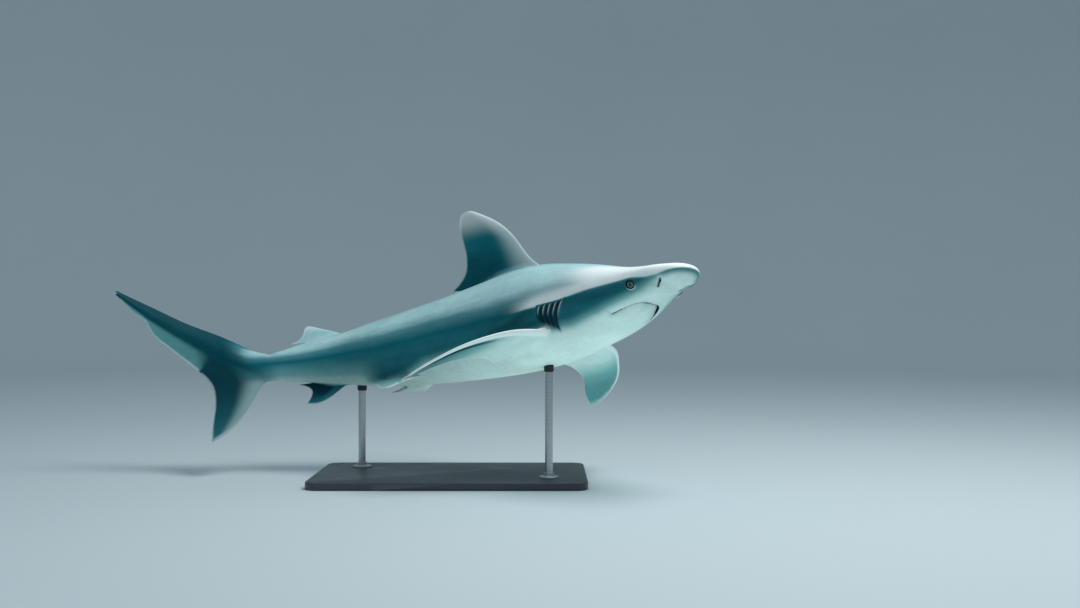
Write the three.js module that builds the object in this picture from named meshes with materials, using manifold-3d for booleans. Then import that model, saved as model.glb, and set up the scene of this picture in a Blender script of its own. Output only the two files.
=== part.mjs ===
// A sandbar-type requiem shark, life size, as a still display model on a plain stand.
//
// Millimetres, +Z up, +X toward the head, origin at the middle of the stand's underside.
// The animal is drawn first in a straight "plan": s runs back from the snout tip, y to the
// animal's left and z to its back, all in per cent of the total length. One bent, pitched
// and rolled body axis then carries every plan point into place.

import * as THREE from 'three';
import { mergeVertices } from 'three/addons/utils/BufferGeometryUtils.js';
import Module from 'manifold-3d';

// ---------------------------------------------------------------- driving dimensions

const TOTAL_LENGTH = 1800; // snout tip to upper tail tip along the bent axis
const UNIT = TOTAL_LENGTH / 100; // one plan unit
const GAP = 0.35; // clearance between neighbouring pieces
const TRIM = GAP / UNIT / 2; // half the clearance, in plan units

const POSE = {
  yaw: 26.6, // head turned toward -Y at the pivot station
  pitch: 11.0, // nose up
  roll: 13.2, // belly turned toward -Y
  bend: 38.5, // sideways bend over 40 plan units of body
  bendGrowth: 3.6, // extra bend toward the tail
  pivotStation: 40,
  pivotPoint: [75, 8, 376], // where the axis passes at the pivot station
};

const AROUND = 32; // facets around the body

// Body sections: station, top, bottom, half width, level of the widest line, and the
// squareness of the upper and lower half (2 is a plain ellipse).
const SECTIONS = [
  [0.0, 0.3, 0.3, 0.0, 0.3, 2.0, 2.0], // snout tip
  [0.5, 0.94, -0.37, 2.0, 0.27, 2.2, 2.2],
  [1.5, 1.18, -0.8, 3.1, 0.3, 2.4, 2.3],
  [3.5, 1.4, -1.32, 4.1, 0.4, 2.5, 2.4], // nostrils
  [7.0, 2.2, -2.09, 4.9, 0.45, 2.5, 2.5], // eyes, front of the mouth
  [11.0, 3.52, -3.48, 5.8, 0.55, 2.4, 2.6], // mouth corners
  [16.0, 5.37, -4.65, 6.5, 0.6, 2.3, 2.7],
  [22.0, 7.22, -5.36, 6.9, 0.7, 2.2, 2.8], // last gill slit, pectoral origin
  [27.0, 8.4, -5.95, 7.05, 0.6, 2.15, 2.8], // first dorsal origin
  [34.0, 8.52, -6.12, 6.95, 0.5, 2.1, 2.6],
  [42.0, 7.65, -5.76, 6.3, 0.4, 2.05, 2.4],
  [50.0, 6.58, -5.33, 5.2, 0.3, 2.0, 2.2],
  [58.0, 5.2, -4.55, 3.8, 0.2, 2.0, 2.1],
  [64.0, 3.8, -3.75, 2.8, 0.15, 2.0, 2.0], // second dorsal and anal fins
  [70.0, 2.55, -3.05, 1.95, 0.05, 2.0, 2.0],
  [75.0, 1.7, -2.45, 1.45, 0.0, 2.0, 2.0], // root of the tail fin
  [78.5, 3.05, -1.1, 1.0, 1.0, 2.0, 2.0],
  [82.0, 4.55, 0.9, 0.64, 2.7, 2.0, 2.0],
  [87.0, 6.65, 3.8, 0.38, 5.2, 2.0, 2.0],
  [92.0, 8.95, 7.1, 0.25, 8.0, 2.0, 2.0],
  [97.2, 11.75, 11.15, 0.12, 11.45, 2.0, 2.0], // end of the axis in the upper lobe
];

// Where one named length of the body ends and the next begins.
const DIVISIONS = {
  head: [0, 17.4, 14],
  gill_region: [17.4, 24.4, 4],
  trunk_front: [24.4, 36, 4],
  trunk_middle: [36, 48.2, 4],
  trunk_rear: [48.2, 61.2, 4],
  tail_stalk: [61.2, 74, 4],
};
const CAUDAL_AXIS = [74, 97.2, 9];

const MOUTH = {
  front: 7.95, // middle of the mouth line
  corner: 11.7,
  halfWidth: 3.45,
  curl: 3.6, // how square the U of the mouth is
  jawBack: 15.2,
  roofFront: -1.5,
  roofBack: -2.4,
  below: -9, // clear below the chin
};
const EYE = { station: 6.75, level: -0.75, radius: 18, inset: 15.2 };
const GILLS = {
  count: 5,
  top: [[18.3, -0.05], [23.0, 0.1]], // first and last slit, station and level
  bottom: [[20.2, -3.5], [23.1, -2.0]],
  bow: 0.3,
  width: 2.6,
  depth: 7,
};

const COLOURS = {
  back: 0x8a979a,
  flank: 0x9aa8aa,
  belly: 0xcfdcd9,
  fin: 0x7b888c,
  finPale: 0xb4c2c2,
  eye: 0x15191a,
  base: 0x232628,
  rod: 0xb9bcbe,
};

// ---------------------------------------------------------------- splines

// Natural cubic spline through (x, y); returns a function of x.
function spline(x, y) {
  const n = x.length;
  const second = new Array(n).fill(0);
  const work = new Array(n).fill(0);
  for (let i = 1; i < n - 1; i += 1) {
    const ratio = (x[i] - x[i - 1]) / (x[i + 1] - x[i - 1]);
    const pivot = ratio * second[i - 1] + 2;
    const slope = (y[i + 1] - y[i]) / (x[i + 1] - x[i]) - (y[i] - y[i - 1]) / (x[i] - x[i - 1]);
    second[i] = (ratio - 1) / pivot;
    work[i] = ((6 * slope) / (x[i + 1] - x[i - 1]) - ratio * work[i - 1]) / pivot;
  }
  for (let i = n - 2; i >= 0; i -= 1) second[i] = second[i] * second[i + 1] + work[i];
  return (at) => {
    let i = 0;
    while (i < n - 2 && at > x[i + 1]) i += 1;
    const h = x[i + 1] - x[i];
    const a = (x[i + 1] - at) / h;
    const b = (at - x[i]) / h;
    const bow = ((a ** 3 - a) * second[i] + (b ** 3 - b) * second[i + 1]) * h * h;
    return a * y[i] + b * y[i + 1] + bow / 6;
  };
}

// A smooth edge through a few plan points, cut into `count` even steps.
function edge(points, count) {
  const along = [0];
  for (let i = 1; i < points.length; i += 1) {
    const [dx, dy] = [points[i][0] - points[i - 1][0], points[i][1] - points[i - 1][1]];
    along.push(along[i - 1] + Math.hypot(dx, dy));
  }
  const a = spline(along, points.map((p) => p[0]));
  const b = spline(along, points.map((p) => p[1]));
  const end = along[along.length - 1];
  return Array.from({ length: count + 1 }, (_, i) => [a((end * i) / count), b((end * i) / count)]);
}

const mix = (a, b, t) => a + (b - a) * t;
const smooth = (t) => {
  const c = Math.min(Math.max(t, 0), 1);
  return c * c * (3 - 2 * c);
};

// ---------------------------------------------------------------- body axis

const radians = THREE.MathUtils.degToRad;

function bendRate(s) {
  const grown = POSE.bend + (POSE.bendGrowth * (s - 48)) / 26;
  return (radians(grown) / 40) * smooth((s - 6) / 16) * (1 - 0.6 * smooth((s - 76) / 10));
}

// The axis is walked in small steps; each stop keeps its point and its three directions.
const axis = (() => {
  const step = 0.25;
  const count = 408;
  const [cy, sy] = [Math.cos(radians(POSE.yaw)), Math.sin(radians(POSE.yaw))];
  const [cp, sp] = [Math.cos(radians(POSE.pitch)), Math.sin(radians(POSE.pitch))];
  const forward = new THREE.Vector3(cy * cp, -sy * cp, sp);
  const level = new THREE.Vector3(sy, cy, 0);
  const upright = new THREE.Vector3().crossVectors(forward, level);
  const left = level.clone().multiplyScalar(Math.cos(radians(POSE.roll)));
  left.addScaledVector(upright, -Math.sin(radians(POSE.roll)));
  const up = new THREE.Vector3().crossVectors(forward, left);
  const turn = [0];
  for (let i = 1; i <= count; i += 1) {
    turn.push(turn[i - 1] + ((bendRate(i * step) + bendRate((i - 1) * step)) / 2) * step);
  }
  const zero = turn[POSE.pivotStation / step];
  const stops = turn.map((t) => {
    const [c, d] = [Math.cos(t - zero), Math.sin(t - zero)];
    const ahead = forward.clone().multiplyScalar(c).addScaledVector(left, d);
    const side = left.clone().multiplyScalar(c).addScaledVector(forward, -d);
    return { ahead, side, up, point: new THREE.Vector3() };
  });
  for (let i = 1; i <= count; i += 1) {
    stops[i].point.copy(stops[i - 1].point);
    stops[i].point.addScaledVector(stops[i - 1].ahead, (-step * UNIT) / 2);
    stops[i].point.addScaledVector(stops[i].ahead, (-step * UNIT) / 2);
  }
  const shift = new THREE.Vector3(...POSE.pivotPoint).sub(stops[POSE.pivotStation / step].point);
  stops.forEach((stop) => stop.point.add(shift));
  return { step, count, stops };
})();

function frameAt(s) {
  const i = Math.min(Math.max(Math.floor(s / axis.step), 0), axis.count - 1);
  const t = s / axis.step - i;
  const [a, b] = [axis.stops[i], axis.stops[i + 1]];
  return {
    point: a.point.clone().lerp(b.point, t),
    ahead: a.ahead.clone().lerp(b.ahead, t).normalize(),
    side: a.side.clone().lerp(b.side, t).normalize(),
    up: a.up,
  };
}

// Plan point to its place in space.
function place(s, y, z) {
  const f = frameAt(s);
  return f.point.addScaledVector(f.side, y * UNIT).addScaledVector(f.up, z * UNIT);
}

// ---------------------------------------------------------------- solids

const wasm = await Module();
wasm.setup();

// Builds a closed surface; its faces are turned to point outward whichever side it is for.
function geometryFrom(points, faces) {
  const volume = faces.reduce((sum, [a, b, c]) => {
    return sum + points[a].dot(points[b].clone().cross(points[c]));
  }, 0);
  if (volume < 0) faces.forEach((face) => face.reverse());
  const geometry = new THREE.BufferGeometry();
  const numbers = points.flatMap((p) => [p.x, p.y, p.z]);
  geometry.setAttribute('position', new THREE.Float32BufferAttribute(numbers, 3));
  geometry.setIndex(faces.flat());
  return geometry;
}

function solidFrom(geometry) {
  const bare = geometry.clone();
  bare.deleteAttribute('normal');
  bare.deleteAttribute('uv');
  const merged = mergeVertices(bare, 1e-4);
  const vertProperties = new Float32Array(merged.getAttribute('position').array);
  const triVerts = new Uint32Array(merged.getIndex().array);
  return new wasm.Manifold(new wasm.Mesh({ numProp: 3, vertProperties, triVerts }));
}

// A cut can shave loose slivers off a grazing edge: only the piece itself is kept.
function mainPiece(solid) {
  return solid.decompose().reduce((best, piece) => (piece.volume() > best.volume() ? piece : best));
}

// Cuts a piece back from its neighbour by the clearance, along each direction in turn.
function clearOf(solid, neighbour) {
  const sideways = [[0, 0, 0], [GAP, 0, 0], [-GAP, 0, 0], [0, GAP, 0], [0, -GAP, 0]];
  const nudges = [...sideways, [0, 0, GAP], [0, 0, -GAP]];
  return nudges.reduce((left, nudge) => left.subtract(neighbour.translate(nudge)), solid);
}

function geometryOf(solid) {
  const mesh = solid.getMesh();
  const geometry = new THREE.BufferGeometry();
  const positions = new Float32Array(mesh.vertProperties);
  geometry.setAttribute('position', new THREE.BufferAttribute(positions, 3));
  geometry.setIndex(new THREE.BufferAttribute(new Uint32Array(mesh.triVerts), 1));
  return geometry;
}

// ---------------------------------------------------------------- body

const roots = SECTIONS.map((row) => Math.sqrt(row[0]));
const measures = [1, 2, 3, 4, 5, 6].map((column) => spline(roots, SECTIONS.map((row) => row[column])));

function section(s) {
  const [top, bottom, half, mid, squareUp, squareDown] = measures.map((measure) => measure(Math.sqrt(s)));
  return { top, bottom, half, mid, squareUp, squareDown };
}

// A point on the body's surface: angle 0 is the back, a quarter turn is the right flank.
function skin(s, angle, grow = 0) {
  const { top, bottom, half, mid, squareUp, squareDown } = section(s);
  const [c, d] = [Math.cos(angle), Math.sin(angle)];
  const power = 2 / (c >= 0 ? squareUp : squareDown);
  const y = -(half + grow) * Math.sign(d) * Math.abs(d) ** power;
  const reach = c >= 0 ? top - mid + grow : bottom - mid - grow;
  return [y, mid + reach * Math.abs(c) ** power];
}

// A closed length of the body between two stations; the stations bunch toward the snout.
function bodyLength(from, to, count, grow = 0) {
  const points = [];
  const faces = [];
  const pointed = from === 0;
  const [a, b] = pointed ? [0, Math.sqrt(to)] : [from, to];
  for (let i = 0; i <= count; i += 1) {
    const s = pointed ? mix(a, b, i / count) ** 2 : mix(a, b, i / count);
    if (pointed && i === 0) {
      points.push(place(0, 0, section(0).mid).addScaledVector(frameAt(0).ahead, grow * UNIT));
      continue;
    }
    for (let k = 0; k < AROUND; k += 1) {
      const [y, z] = skin(s, (2 * Math.PI * k) / AROUND, grow);
      points.push(place(s, y, z));
    }
  }
  const start = pointed ? 1 : 0;
  const ring = (i, k) => start + (i - (pointed ? 1 : 0)) * AROUND + (k % AROUND);
  const firstRing = pointed ? 1 : 0;
  for (let k = 0; k < AROUND; k += 1) {
    for (let i = firstRing; i < count; i += 1) {
      faces.push([ring(i, k), ring(i, k + 1), ring(i + 1, k)]);
      faces.push([ring(i, k + 1), ring(i + 1, k + 1), ring(i + 1, k)]);
    }
    if (pointed) faces.push([0, ring(1, k + 1), ring(1, k)]);
  }
  const cap = (i, s, outward) => {
    const middle = points.length;
    points.push(place(s, 0, section(s).mid));
    for (let k = 0; k < AROUND; k += 1) {
      faces.push(outward ? [middle, ring(i, k), ring(i, k + 1)] : [middle, ring(i, k + 1), ring(i, k)]);
    }
  };
  if (!pointed) cap(0, from, false);
  cap(count, to, true);
  return geometryFrom(points, faces);
}

// The whole body grown by the clearance, faceted as its lengths are, to cut its neighbours.
const bodyClearance = [...Object.values(DIVISIONS), CAUDAL_AXIS]
  .map(([from, to, count]) => {
    const front = Math.max(from - TRIM, 0);
    return solidFrom(bodyLength(front, to + TRIM, count, GAP / UNIT));
  })
  .reduce((whole, piece) => whole.add(piece));

// ---------------------------------------------------------------- fins

// Thickness of a fin blade across its chord: 1 at its thickest, round in front, thin behind.
function airfoil(x) {
  const c = Math.min(Math.max(x, 0), 1);
  return 10 * (0.2969 * Math.sqrt(c) - 0.126 * c - 0.3516 * c ** 2 + 0.2843 * c ** 3 - 0.1036 * c ** 4);
}

// Where an outline crosses a given span level, as a chordwise position.
function crossing(outline, span) {
  for (let i = 1; i < outline.length; i += 1) {
    const [a, b] = [outline[i - 1], outline[i]];
    if ((a[1] - span) * (b[1] - span) <= 0 && a[1] !== b[1]) {
      return mix(a[0], b[0], (span - a[1]) / (b[1] - a[1]));
    }
  }
  return Math.abs(outline[0][1] - span) < Math.abs(outline[outline.length - 1][1] - span)
    ? outline[0][0]
    : outline[outline.length - 1][0];
}

// Faces of a thin blade from the point numbers of its two sheets, closed all round.
function sheetFaces(near, far) {
  const faces = [];
  const quad = (a, b, c, d) => faces.push([a, b, c], [a, c, d]);
  const last = near.length - 1;
  const rows = near[0].length - 1;
  for (let i = 0; i < last; i += 1) {
    for (let j = 0; j < rows; j += 1) {
      quad(near[i][j], near[i + 1][j], near[i + 1][j + 1], near[i][j + 1]);
      quad(far[i][j], far[i][j + 1], far[i + 1][j + 1], far[i + 1][j]);
    }
    quad(near[i][rows], near[i + 1][rows], far[i + 1][rows], far[i][rows]);
    quad(near[i][0], far[i][0], far[i + 1][0], near[i + 1][0]);
  }
  for (let j = 0; j < rows; j += 1) {
    quad(near[0][j], near[0][j + 1], far[0][j + 1], far[0][j]);
    quad(near[last][j], far[last][j], far[last][j + 1], near[last][j + 1]);
  }
  return faces;
}

// A fin blade. All outlines are (chord, span) plan points, span growing away from the body:
// `lead` from inside the body round to the tip, `trail` from the tip to the free rear tip,
// `inner` from there back into the body. Rays run from the `base` line out to that margin.
function finBlade({ lead, trail, inner, base, thick, margin, counts, rows, carry }) {
  const leading = edge(lead, counts[0]);
  const trailing = edge(trail, counts[1]);
  const inward = edge(inner, counts[2]);
  const rim = [...leading, ...trailing.slice(1), ...inward.slice(1)];
  const reach = Math.max(...leading.map((p) => p[1]));
  const halfThickness = (chord, span) => {
    const inside = Math.min(Math.max(span, trailing[trailing.length - 1][1]), reach * 0.995);
    const [front, back] = [crossing(leading, inside), crossing(trailing, inside)];
    const taper = mix(1, 0.25, Math.max(span, 0) / reach);
    return margin + thick * taper * airfoil((chord - front) / Math.max(back - front, 0.3));
  };
  const columns = rim.length - 1;
  const points = [];
  const index = [[], []];
  for (let sheet = 0; sheet < 2; sheet += 1) {
    for (let i = 0; i <= columns; i += 1) {
      index[sheet].push([]);
      const t = i / columns;
      const root = [mix(base[0][0], base[1][0], t), mix(base[0][1], base[1][1], t)];
      for (let j = 0; j <= rows; j += 1) {
        const v = 1 - (1 - j / rows) ** 1.7;
        const [chord, span] = [mix(root[0], rim[i][0], v), mix(root[1], rim[i][1], v)];
        const half = j === rows ? margin : halfThickness(chord, span);
        index[sheet][i].push(points.length);
        points.push(carry(chord, span, sheet ? -half : half));
      }
    }
  }
  return geometryFrom(points, sheetFaces(...index));
}

const EDGE_HALF = 0.5; // half thickness of every fin margin, mm

// Fins on the midline: chord is the station, span is the height above or below the axis.
const middleFin = (sign) => (chord, span, off) => place(chord, off / UNIT, sign * span);

const FIRST_DORSAL = {
  lead: [
    [27.2, 8.0], [29.3, 9.65], [30.6, 11.1], [32.4, 13.9],
    [35.6, 17.55], [39, 19.85], [41.1, 20.6], [42.2, 20.2],
  ],
  trail: [
    [42.2, 20.2], [42.5, 18.9], [42.0, 15.6], [41.6, 12.9],
    [41.85, 10.9], [42.8, 9.45], [44.2, 8.3],
  ],
  inner: [[44.2, 8.3], [42.3, 8.0], [40.3, 7.75]],
  base: [[28.4, 7.9], [39.4, 7.7]],
  thick: 11,
  margin: EDGE_HALF,
  counts: [14, 8, 2],
  rows: 4,
  carry: middleFin(1),
};

const SECOND_DORSAL = {
  lead: [[61.8, 3.9], [62.9, 4.2], [64.5, 4.75], [66.8, 5.45], [68.1, 5.6], [68.5, 5.25]],
  trail: [[68.5, 5.25], [68.65, 4.6], [69.1, 3.8], [70.8, 2.95]],
  inner: [[70.8, 2.95], [68.6, 3.05], [66.4, 3.2]],
  base: [[62.7, 3.7], [66.0, 3.12]],
  thick: 4.2,
  margin: EDGE_HALF,
  counts: [8, 5, 2],
  rows: 3,
  carry: middleFin(1),
};

const ANAL = {
  lead: [[61.4, 3.8], [62.3, 4.25], [63.6, 5.15], [65.2, 6.15], [66.9, 6.65], [68.2, 6.55]],
  trail: [[68.2, 6.55], [67.55, 5.5], [67.45, 4.6], [68.1, 3.95], [69.5, 3.55]],
  inner: [[69.5, 3.55], [68.2, 3.45], [66.7, 3.35]],
  base: [[62.5, 3.75], [66.4, 3.3]],
  thick: 4.2,
  margin: EDGE_HALF,
  counts: [8, 6, 2],
  rows: 3,
  carry: middleFin(-1),
};

const CAUDAL_LOWER = {
  lead: [[73.7, 2.1], [74.5, 3.0], [75.6, 4.66], [77.8, 8.2], [80.3, 10.75], [82.35, 11.95]],
  trail: [
    [82.35, 11.95], [82.35, 9.9], [82.05, 7.5], [82.0, 5.6],
    [82.5, 3.3], [83.4, 2.05], [84.55, 1.0],
  ],
  inner: [[84.55, 1.0], [80.6, -0.7]],
  base: [[75.2, 1.0], [79.2, -0.6]],
  thick: 8,
  margin: EDGE_HALF,
  counts: [12, 8, 2],
  rows: 4,
  carry: middleFin(-1),
};

// Paired fins: a flat frame at the root, sloping down from the flank, arched and twisted.
function pairedFin(side, { station, out, level, droop, pitch, arch, twist, reach }) {
  const f = frameAt(station);
  const [c, d] = [Math.cos(radians(droop)), Math.sin(radians(droop))];
  const origin = f.point.addScaledVector(f.side, side * out * UNIT).addScaledVector(f.up, level * UNIT);
  const outward = f.side.clone().multiplyScalar(side * c).addScaledVector(f.up, -d);
  const normal = f.up.clone().multiplyScalar(c).addScaledVector(f.side, side * d);
  return (chord, span, off) => {
    const t = span / reach;
    const tilt = radians(pitch + twist * t);
    const back = f.ahead.clone().multiplyScalar(-Math.cos(tilt)).addScaledVector(normal, -Math.sin(tilt));
    const lift = arch * 4 * Math.max(t, 0) * (1 - t) * UNIT + off;
    return origin.clone().addScaledVector(back, chord * UNIT).addScaledVector(outward, span * UNIT)
      .addScaledVector(normal, lift);
  };
}

const PECTORAL = {
  lead: [
    [-1.0, -1.7], [0.55, 0.9], [1.9, 3.75], [4.25, 6.95],
    [7.1, 10.1], [11.1, 12.6], [14.3, 13.65], [16.3, 13.85],
  ],
  trail: [
    [16.3, 13.85], [15.85, 12.6], [12.35, 7.9], [10.95, 4.6],
    [10.55, 2.4], [10.75, 0.9], [11.5, -0.45],
  ],
  inner: [[11.5, -0.45], [9.0, -1.05], [6.4, -2.0]],
  base: [[0.5, -1.6], [5.8, -1.95]],
  thick: 10,
  margin: EDGE_HALF,
  counts: [14, 9, 2],
  rows: 4,
};
const PECTORAL_ROOT = { station: 22.3, out: 6.68, level: -3.44, arch: 0.9, reach: 13.9 };

const PELVIC = {
  lead: [[-0.9, -1.3], [0, 0], [1.3, 1.7], [2.7, 3.0], [3.9, 3.6], [4.7, 3.5]],
  trail: [[4.7, 3.5], [5.3, 2.7], [6.1, 1.8], [7.5, 0.75]],
  inner: [[7.5, 0.75], [6.0, 0.1], [4.5, -0.9]],
  base: [[0.7, -1.2], [3.9, -1.1]],
  thick: 5.5,
  margin: EDGE_HALF,
  counts: [8, 6, 2],
  rows: 3,
};
const PELVIC_ROOT = { station: 49.3, out: 2.9, level: -4.8, arch: 0.2, twist: 0, reach: 3.6 };

// Each side's own slope, pitch and twist, in degrees.
const FINS = {
  first_dorsal_fin: FIRST_DORSAL,
  second_dorsal_fin: SECOND_DORSAL,
  anal_fin: ANAL,
  caudal_lower_lobe: CAUDAL_LOWER,
  pectoral_fin_right: {
    ...PECTORAL,
    carry: pairedFin(-1, { ...PECTORAL_ROOT, droop: 8, pitch: 11.4, twist: 2.4 }),
  },
  pectoral_fin_left: {
    ...PECTORAL,
    carry: pairedFin(1, { ...PECTORAL_ROOT, droop: 10.1, pitch: 2.7, twist: 5.6 }),
  },
  pelvic_fin_right: {
    ...PELVIC,
    carry: pairedFin(-1, { ...PELVIC_ROOT, droop: 32, pitch: 1 }),
  },
  pelvic_fin_left: {
    ...PELVIC,
    carry: pairedFin(1, { ...PELVIC_ROOT, droop: 0, pitch: 3 }),
  },
};

// The upper lobe's web: strips from the dorsal margin down to the ventral margin, which is
// the line it shares with the lower lobe, then the web's edge up to the notch, then the
// small end lobe.
const UPPER_WEB = {
  dorsal: [[75.3, 1.3], [76.0, 2.15], [77.6, 3.2], [79.5, 4.15], [85.6, 6.5], [92.4, 9.6], [97.4, 11.95]],
  divide: [[80.6, 0.72], [84.55, -0.98]],
  web: [[84.55, -0.98], [86.2, 0.45], [89.6, 3.25], [91.3, 4.9], [92.3, 6.9]],
  endLobe: [[92.3, 6.9], [93.2, 7.45], [95.6, 9.7], [97.1, 11.5]],
  counts: [3, 9, 5],
  rows: 4,
  thick: [6.5, 1.5], // at the front and at the tip
};

function upperWeb() {
  const { dorsal, divide, web, endLobe, counts, rows, thick } = UPPER_WEB;
  const above = edge(dorsal, counts[0] + counts[1] + counts[2]);
  const margins = [edge(divide, counts[0]), edge(web, counts[1]), edge(endLobe, counts[2])];
  const below = [...margins[0], ...margins[1].slice(1), ...margins[2].slice(1)];
  const [points, index] = [[], [[], []]];
  for (let sheet = 0; sheet < 2; sheet += 1) {
    above.forEach((top, i) => {
      index[sheet].push([]);
      for (let j = 0; j <= rows; j += 1) {
        const v = j / rows;
        const fat = mix(...thick, i / (above.length - 1)) * (1 - v) * Math.sqrt(Math.min(1, 4 * v));
        const half = (EDGE_HALF + fat) / UNIT; // round along the back, thin at the free edge
        index[sheet][i].push(points.length);
        const [s, z] = [mix(top[0], below[i][0], v), mix(top[1], below[i][1], v)];
        points.push(place(s, sheet ? -half : half, z));
      }
    });
  }
  return geometryFrom(points, sheetFaces(...index));
}

// ---------------------------------------------------------------- head

// An upright prism in plan space, from an outline of (s, y) points between two levels.
function planPrism(corners, floorLevel, roofAt) {
  const turned = THREE.ShapeUtils.isClockWise(corners.map(([s, y]) => new THREE.Vector2(s, y)));
  const outline = turned ? [...corners].reverse() : corners;
  const points = [];
  const faces = [];
  const n = outline.length;
  outline.forEach(([s, y]) => points.push(place(s, y, floorLevel), place(s, y, roofAt(s))));
  for (let i = 0; i < n; i += 1) {
    const k = (i + 1) % n;
    faces.push([2 * i, 2 * k, 2 * k + 1], [2 * i, 2 * k + 1, 2 * i + 1]);
  }
  const flat = outline.map(([s, y]) => new THREE.Vector2(s, y));
  THREE.ShapeUtils.triangulateShape(flat, []).forEach(([a, b, c]) => {
    faces.push([2 * a + 1, 2 * b + 1, 2 * c + 1], [2 * c, 2 * b, 2 * a]);
  });
  return solidFrom(geometryFrom(points, faces));
}

// The lower jaw: everything inside the U of the mouth, under the roof of the mouth.
function jawBlock(grow) {
  const outline = [];
  for (let i = -10; i <= 10; i += 1) {
    const y = (MOUTH.halfWidth * i) / 10;
    const back = (MOUTH.corner - MOUTH.front) * Math.abs(i / 10) ** MOUTH.curl;
    outline.push([MOUTH.front + back - grow, y + Math.sign(i) * grow]);
  }
  outline.push([MOUTH.jawBack + grow, MOUTH.halfWidth + 0.5 + grow]);
  outline.push([MOUTH.jawBack + grow, -MOUTH.halfWidth - 0.5 - grow]);
  const run = MOUTH.jawBack - MOUTH.front;
  const roof = (s) => mix(MOUTH.roofFront, MOUTH.roofBack, (s - MOUTH.front) / run) + grow;
  return planPrism(outline, MOUTH.below, roof);
}

// Eye centre: the flank point at the eye's station and level, moved in along the normal.
function eyeCentre(side) {
  const at = (s, angle) => {
    const [y, z] = skin(s, angle);
    return place(s, side < 0 ? y : -y, z);
  };
  let [low, high] = [Math.PI / 2, Math.PI];
  for (let i = 0; i < 40; i += 1) {
    const middle = (low + high) / 2;
    if (skin(EYE.station, middle)[1] > EYE.level) low = middle;
    else high = middle;
  }
  const point = at(EYE.station, low);
  const along = at(EYE.station + 0.4, low).sub(at(EYE.station - 0.4, low));
  const round = at(EYE.station, low + 0.03).sub(at(EYE.station, low - 0.03));
  const inward = along.cross(round).normalize();
  if (inward.dot(frameAt(EYE.station).side) * side > 0) inward.negate();
  return point.addScaledVector(inward, EYE.inset);
}

function eyeBall(side, grow) {
  const ball = new THREE.SphereGeometry(EYE.radius + grow, 12, 8);
  const centre = eyeCentre(side);
  ball.translate(centre.x, centre.y, centre.z);
  return solidFrom(ball);
}

// Five upright grooves on each flank, cut just into the surface.
function gillSlits(side) {
  const cuts = [];
  const steps = 3;
  for (let i = 0; i < GILLS.count; i += 1) {
    const t = i / (GILLS.count - 1);
    const between = ([a, b]) => [mix(a[0], b[0], t), mix(a[1], b[1], t)];
    const [top, bottom] = [between(GILLS.top), between(GILLS.bottom)];
    const half = GILLS.width / UNIT / 2;
    const points = [];
    const faces = [];
    for (let k = 0; k <= steps; k += 1) {
      const z = mix(bottom[1], top[1], k / steps);
      const s = mix(bottom[0], top[0], k / steps) + GILLS.bow * Math.sin((Math.PI * k) / steps);
      const { half: width, mid, bottom: low, squareDown } = section(s);
      const fall = Math.max((mid - z) / (mid - low), 0);
      const surface = width * (1 - fall ** squareDown) ** (1 / squareDown);
      const depth = (GILLS.depth / UNIT) * Math.sin((Math.PI * (k + 0.6)) / (steps + 1.2));
      const [floor, clear] = [side * (surface - depth), side * (surface + 1)];
      points.push(place(s - half, floor, z), place(s + half, floor, z));
      points.push(place(s + half, clear, z), place(s - half, clear, z));
    }
    for (let k = 0; k < steps; k += 1) {
      for (let e = 0; e < 4; e += 1) {
        const [a, b] = [4 * k + e, 4 * k + ((e + 1) % 4)];
        faces.push([a, b, b + 4], [a, b + 4, a + 4]);
      }
    }
    const end = 4 * steps;
    faces.push([0, 2, 1], [0, 3, 2], [end, end + 1, end + 2], [end, end + 2, end + 3]);
    cuts.push(solidFrom(geometryFrom(points, faces)));
  }
  return cuts;
}

// ---------------------------------------------------------------- stand

const STAND = {
  length: 720,
  depth: 420,
  thickness: 20,
  corner: 36,
  rodRadius: 10,
  rodStations: { stand_rod_front: 27.5, stand_rod_rear: 59.5 },
};

function basePlate() {
  const [x, y, r] = [STAND.length / 2, STAND.depth / 2, STAND.corner];
  const shape = new THREE.Shape();
  shape.moveTo(-x + r, -y);
  shape.lineTo(x - r, -y).absarc(x - r, -y + r, r, -Math.PI / 2, 0, false);
  shape.lineTo(x, y - r).absarc(x - r, y - r, r, 0, Math.PI / 2, false);
  shape.lineTo(-x + r, y).absarc(-x + r, y - r, r, Math.PI / 2, Math.PI, false);
  shape.lineTo(-x, -y + r).absarc(-x + r, -y + r, r, Math.PI, Math.PI * 1.5, false);
  const options = { depth: STAND.thickness, bevelEnabled: false, curveSegments: 5 };
  return solidFrom(new THREE.ExtrudeGeometry(shape, options));
}

function rod(station) {
  const top = frameAt(station).point;
  const foot = STAND.thickness + GAP;
  const bar = new THREE.CylinderGeometry(STAND.rodRadius, STAND.rodRadius, top.z - foot, 20);
  bar.rotateX(Math.PI / 2);
  bar.translate(top.x, top.y, (top.z + foot) / 2);
  return mainPiece(solidFrom(bar).subtract(bodyClearance));
}

// ---------------------------------------------------------------- assembly

const shark = new THREE.Group();

function add(name, solid, colour, roughness = 0.55, metalness = 0) {
  const material = new THREE.MeshStandardMaterial({ color: colour, roughness, metalness });
  const mesh = new THREE.Mesh(geometryOf(solid), material);
  mesh.name = name;
  shark.add(mesh);
}

const lengths = {};
Object.entries(DIVISIONS).forEach(([name, [from, to, count]]) => {
  const front = from === 0 ? 0 : from + TRIM;
  lengths[name] = solidFrom(bodyLength(front, to - TRIM, count));
});

const sides = { right: -1, left: 1 };
Object.values(sides).forEach((side) => {
  lengths.head = lengths.head.subtract(eyeBall(side, GAP));
  gillSlits(side).forEach((cut) => {
    lengths.gill_region = lengths.gill_region.subtract(cut);
  });
});
const lowerJaw = lengths.head.intersect(jawBlock(0));
lengths.head = lengths.head.subtract(jawBlock(GAP / UNIT));

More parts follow.
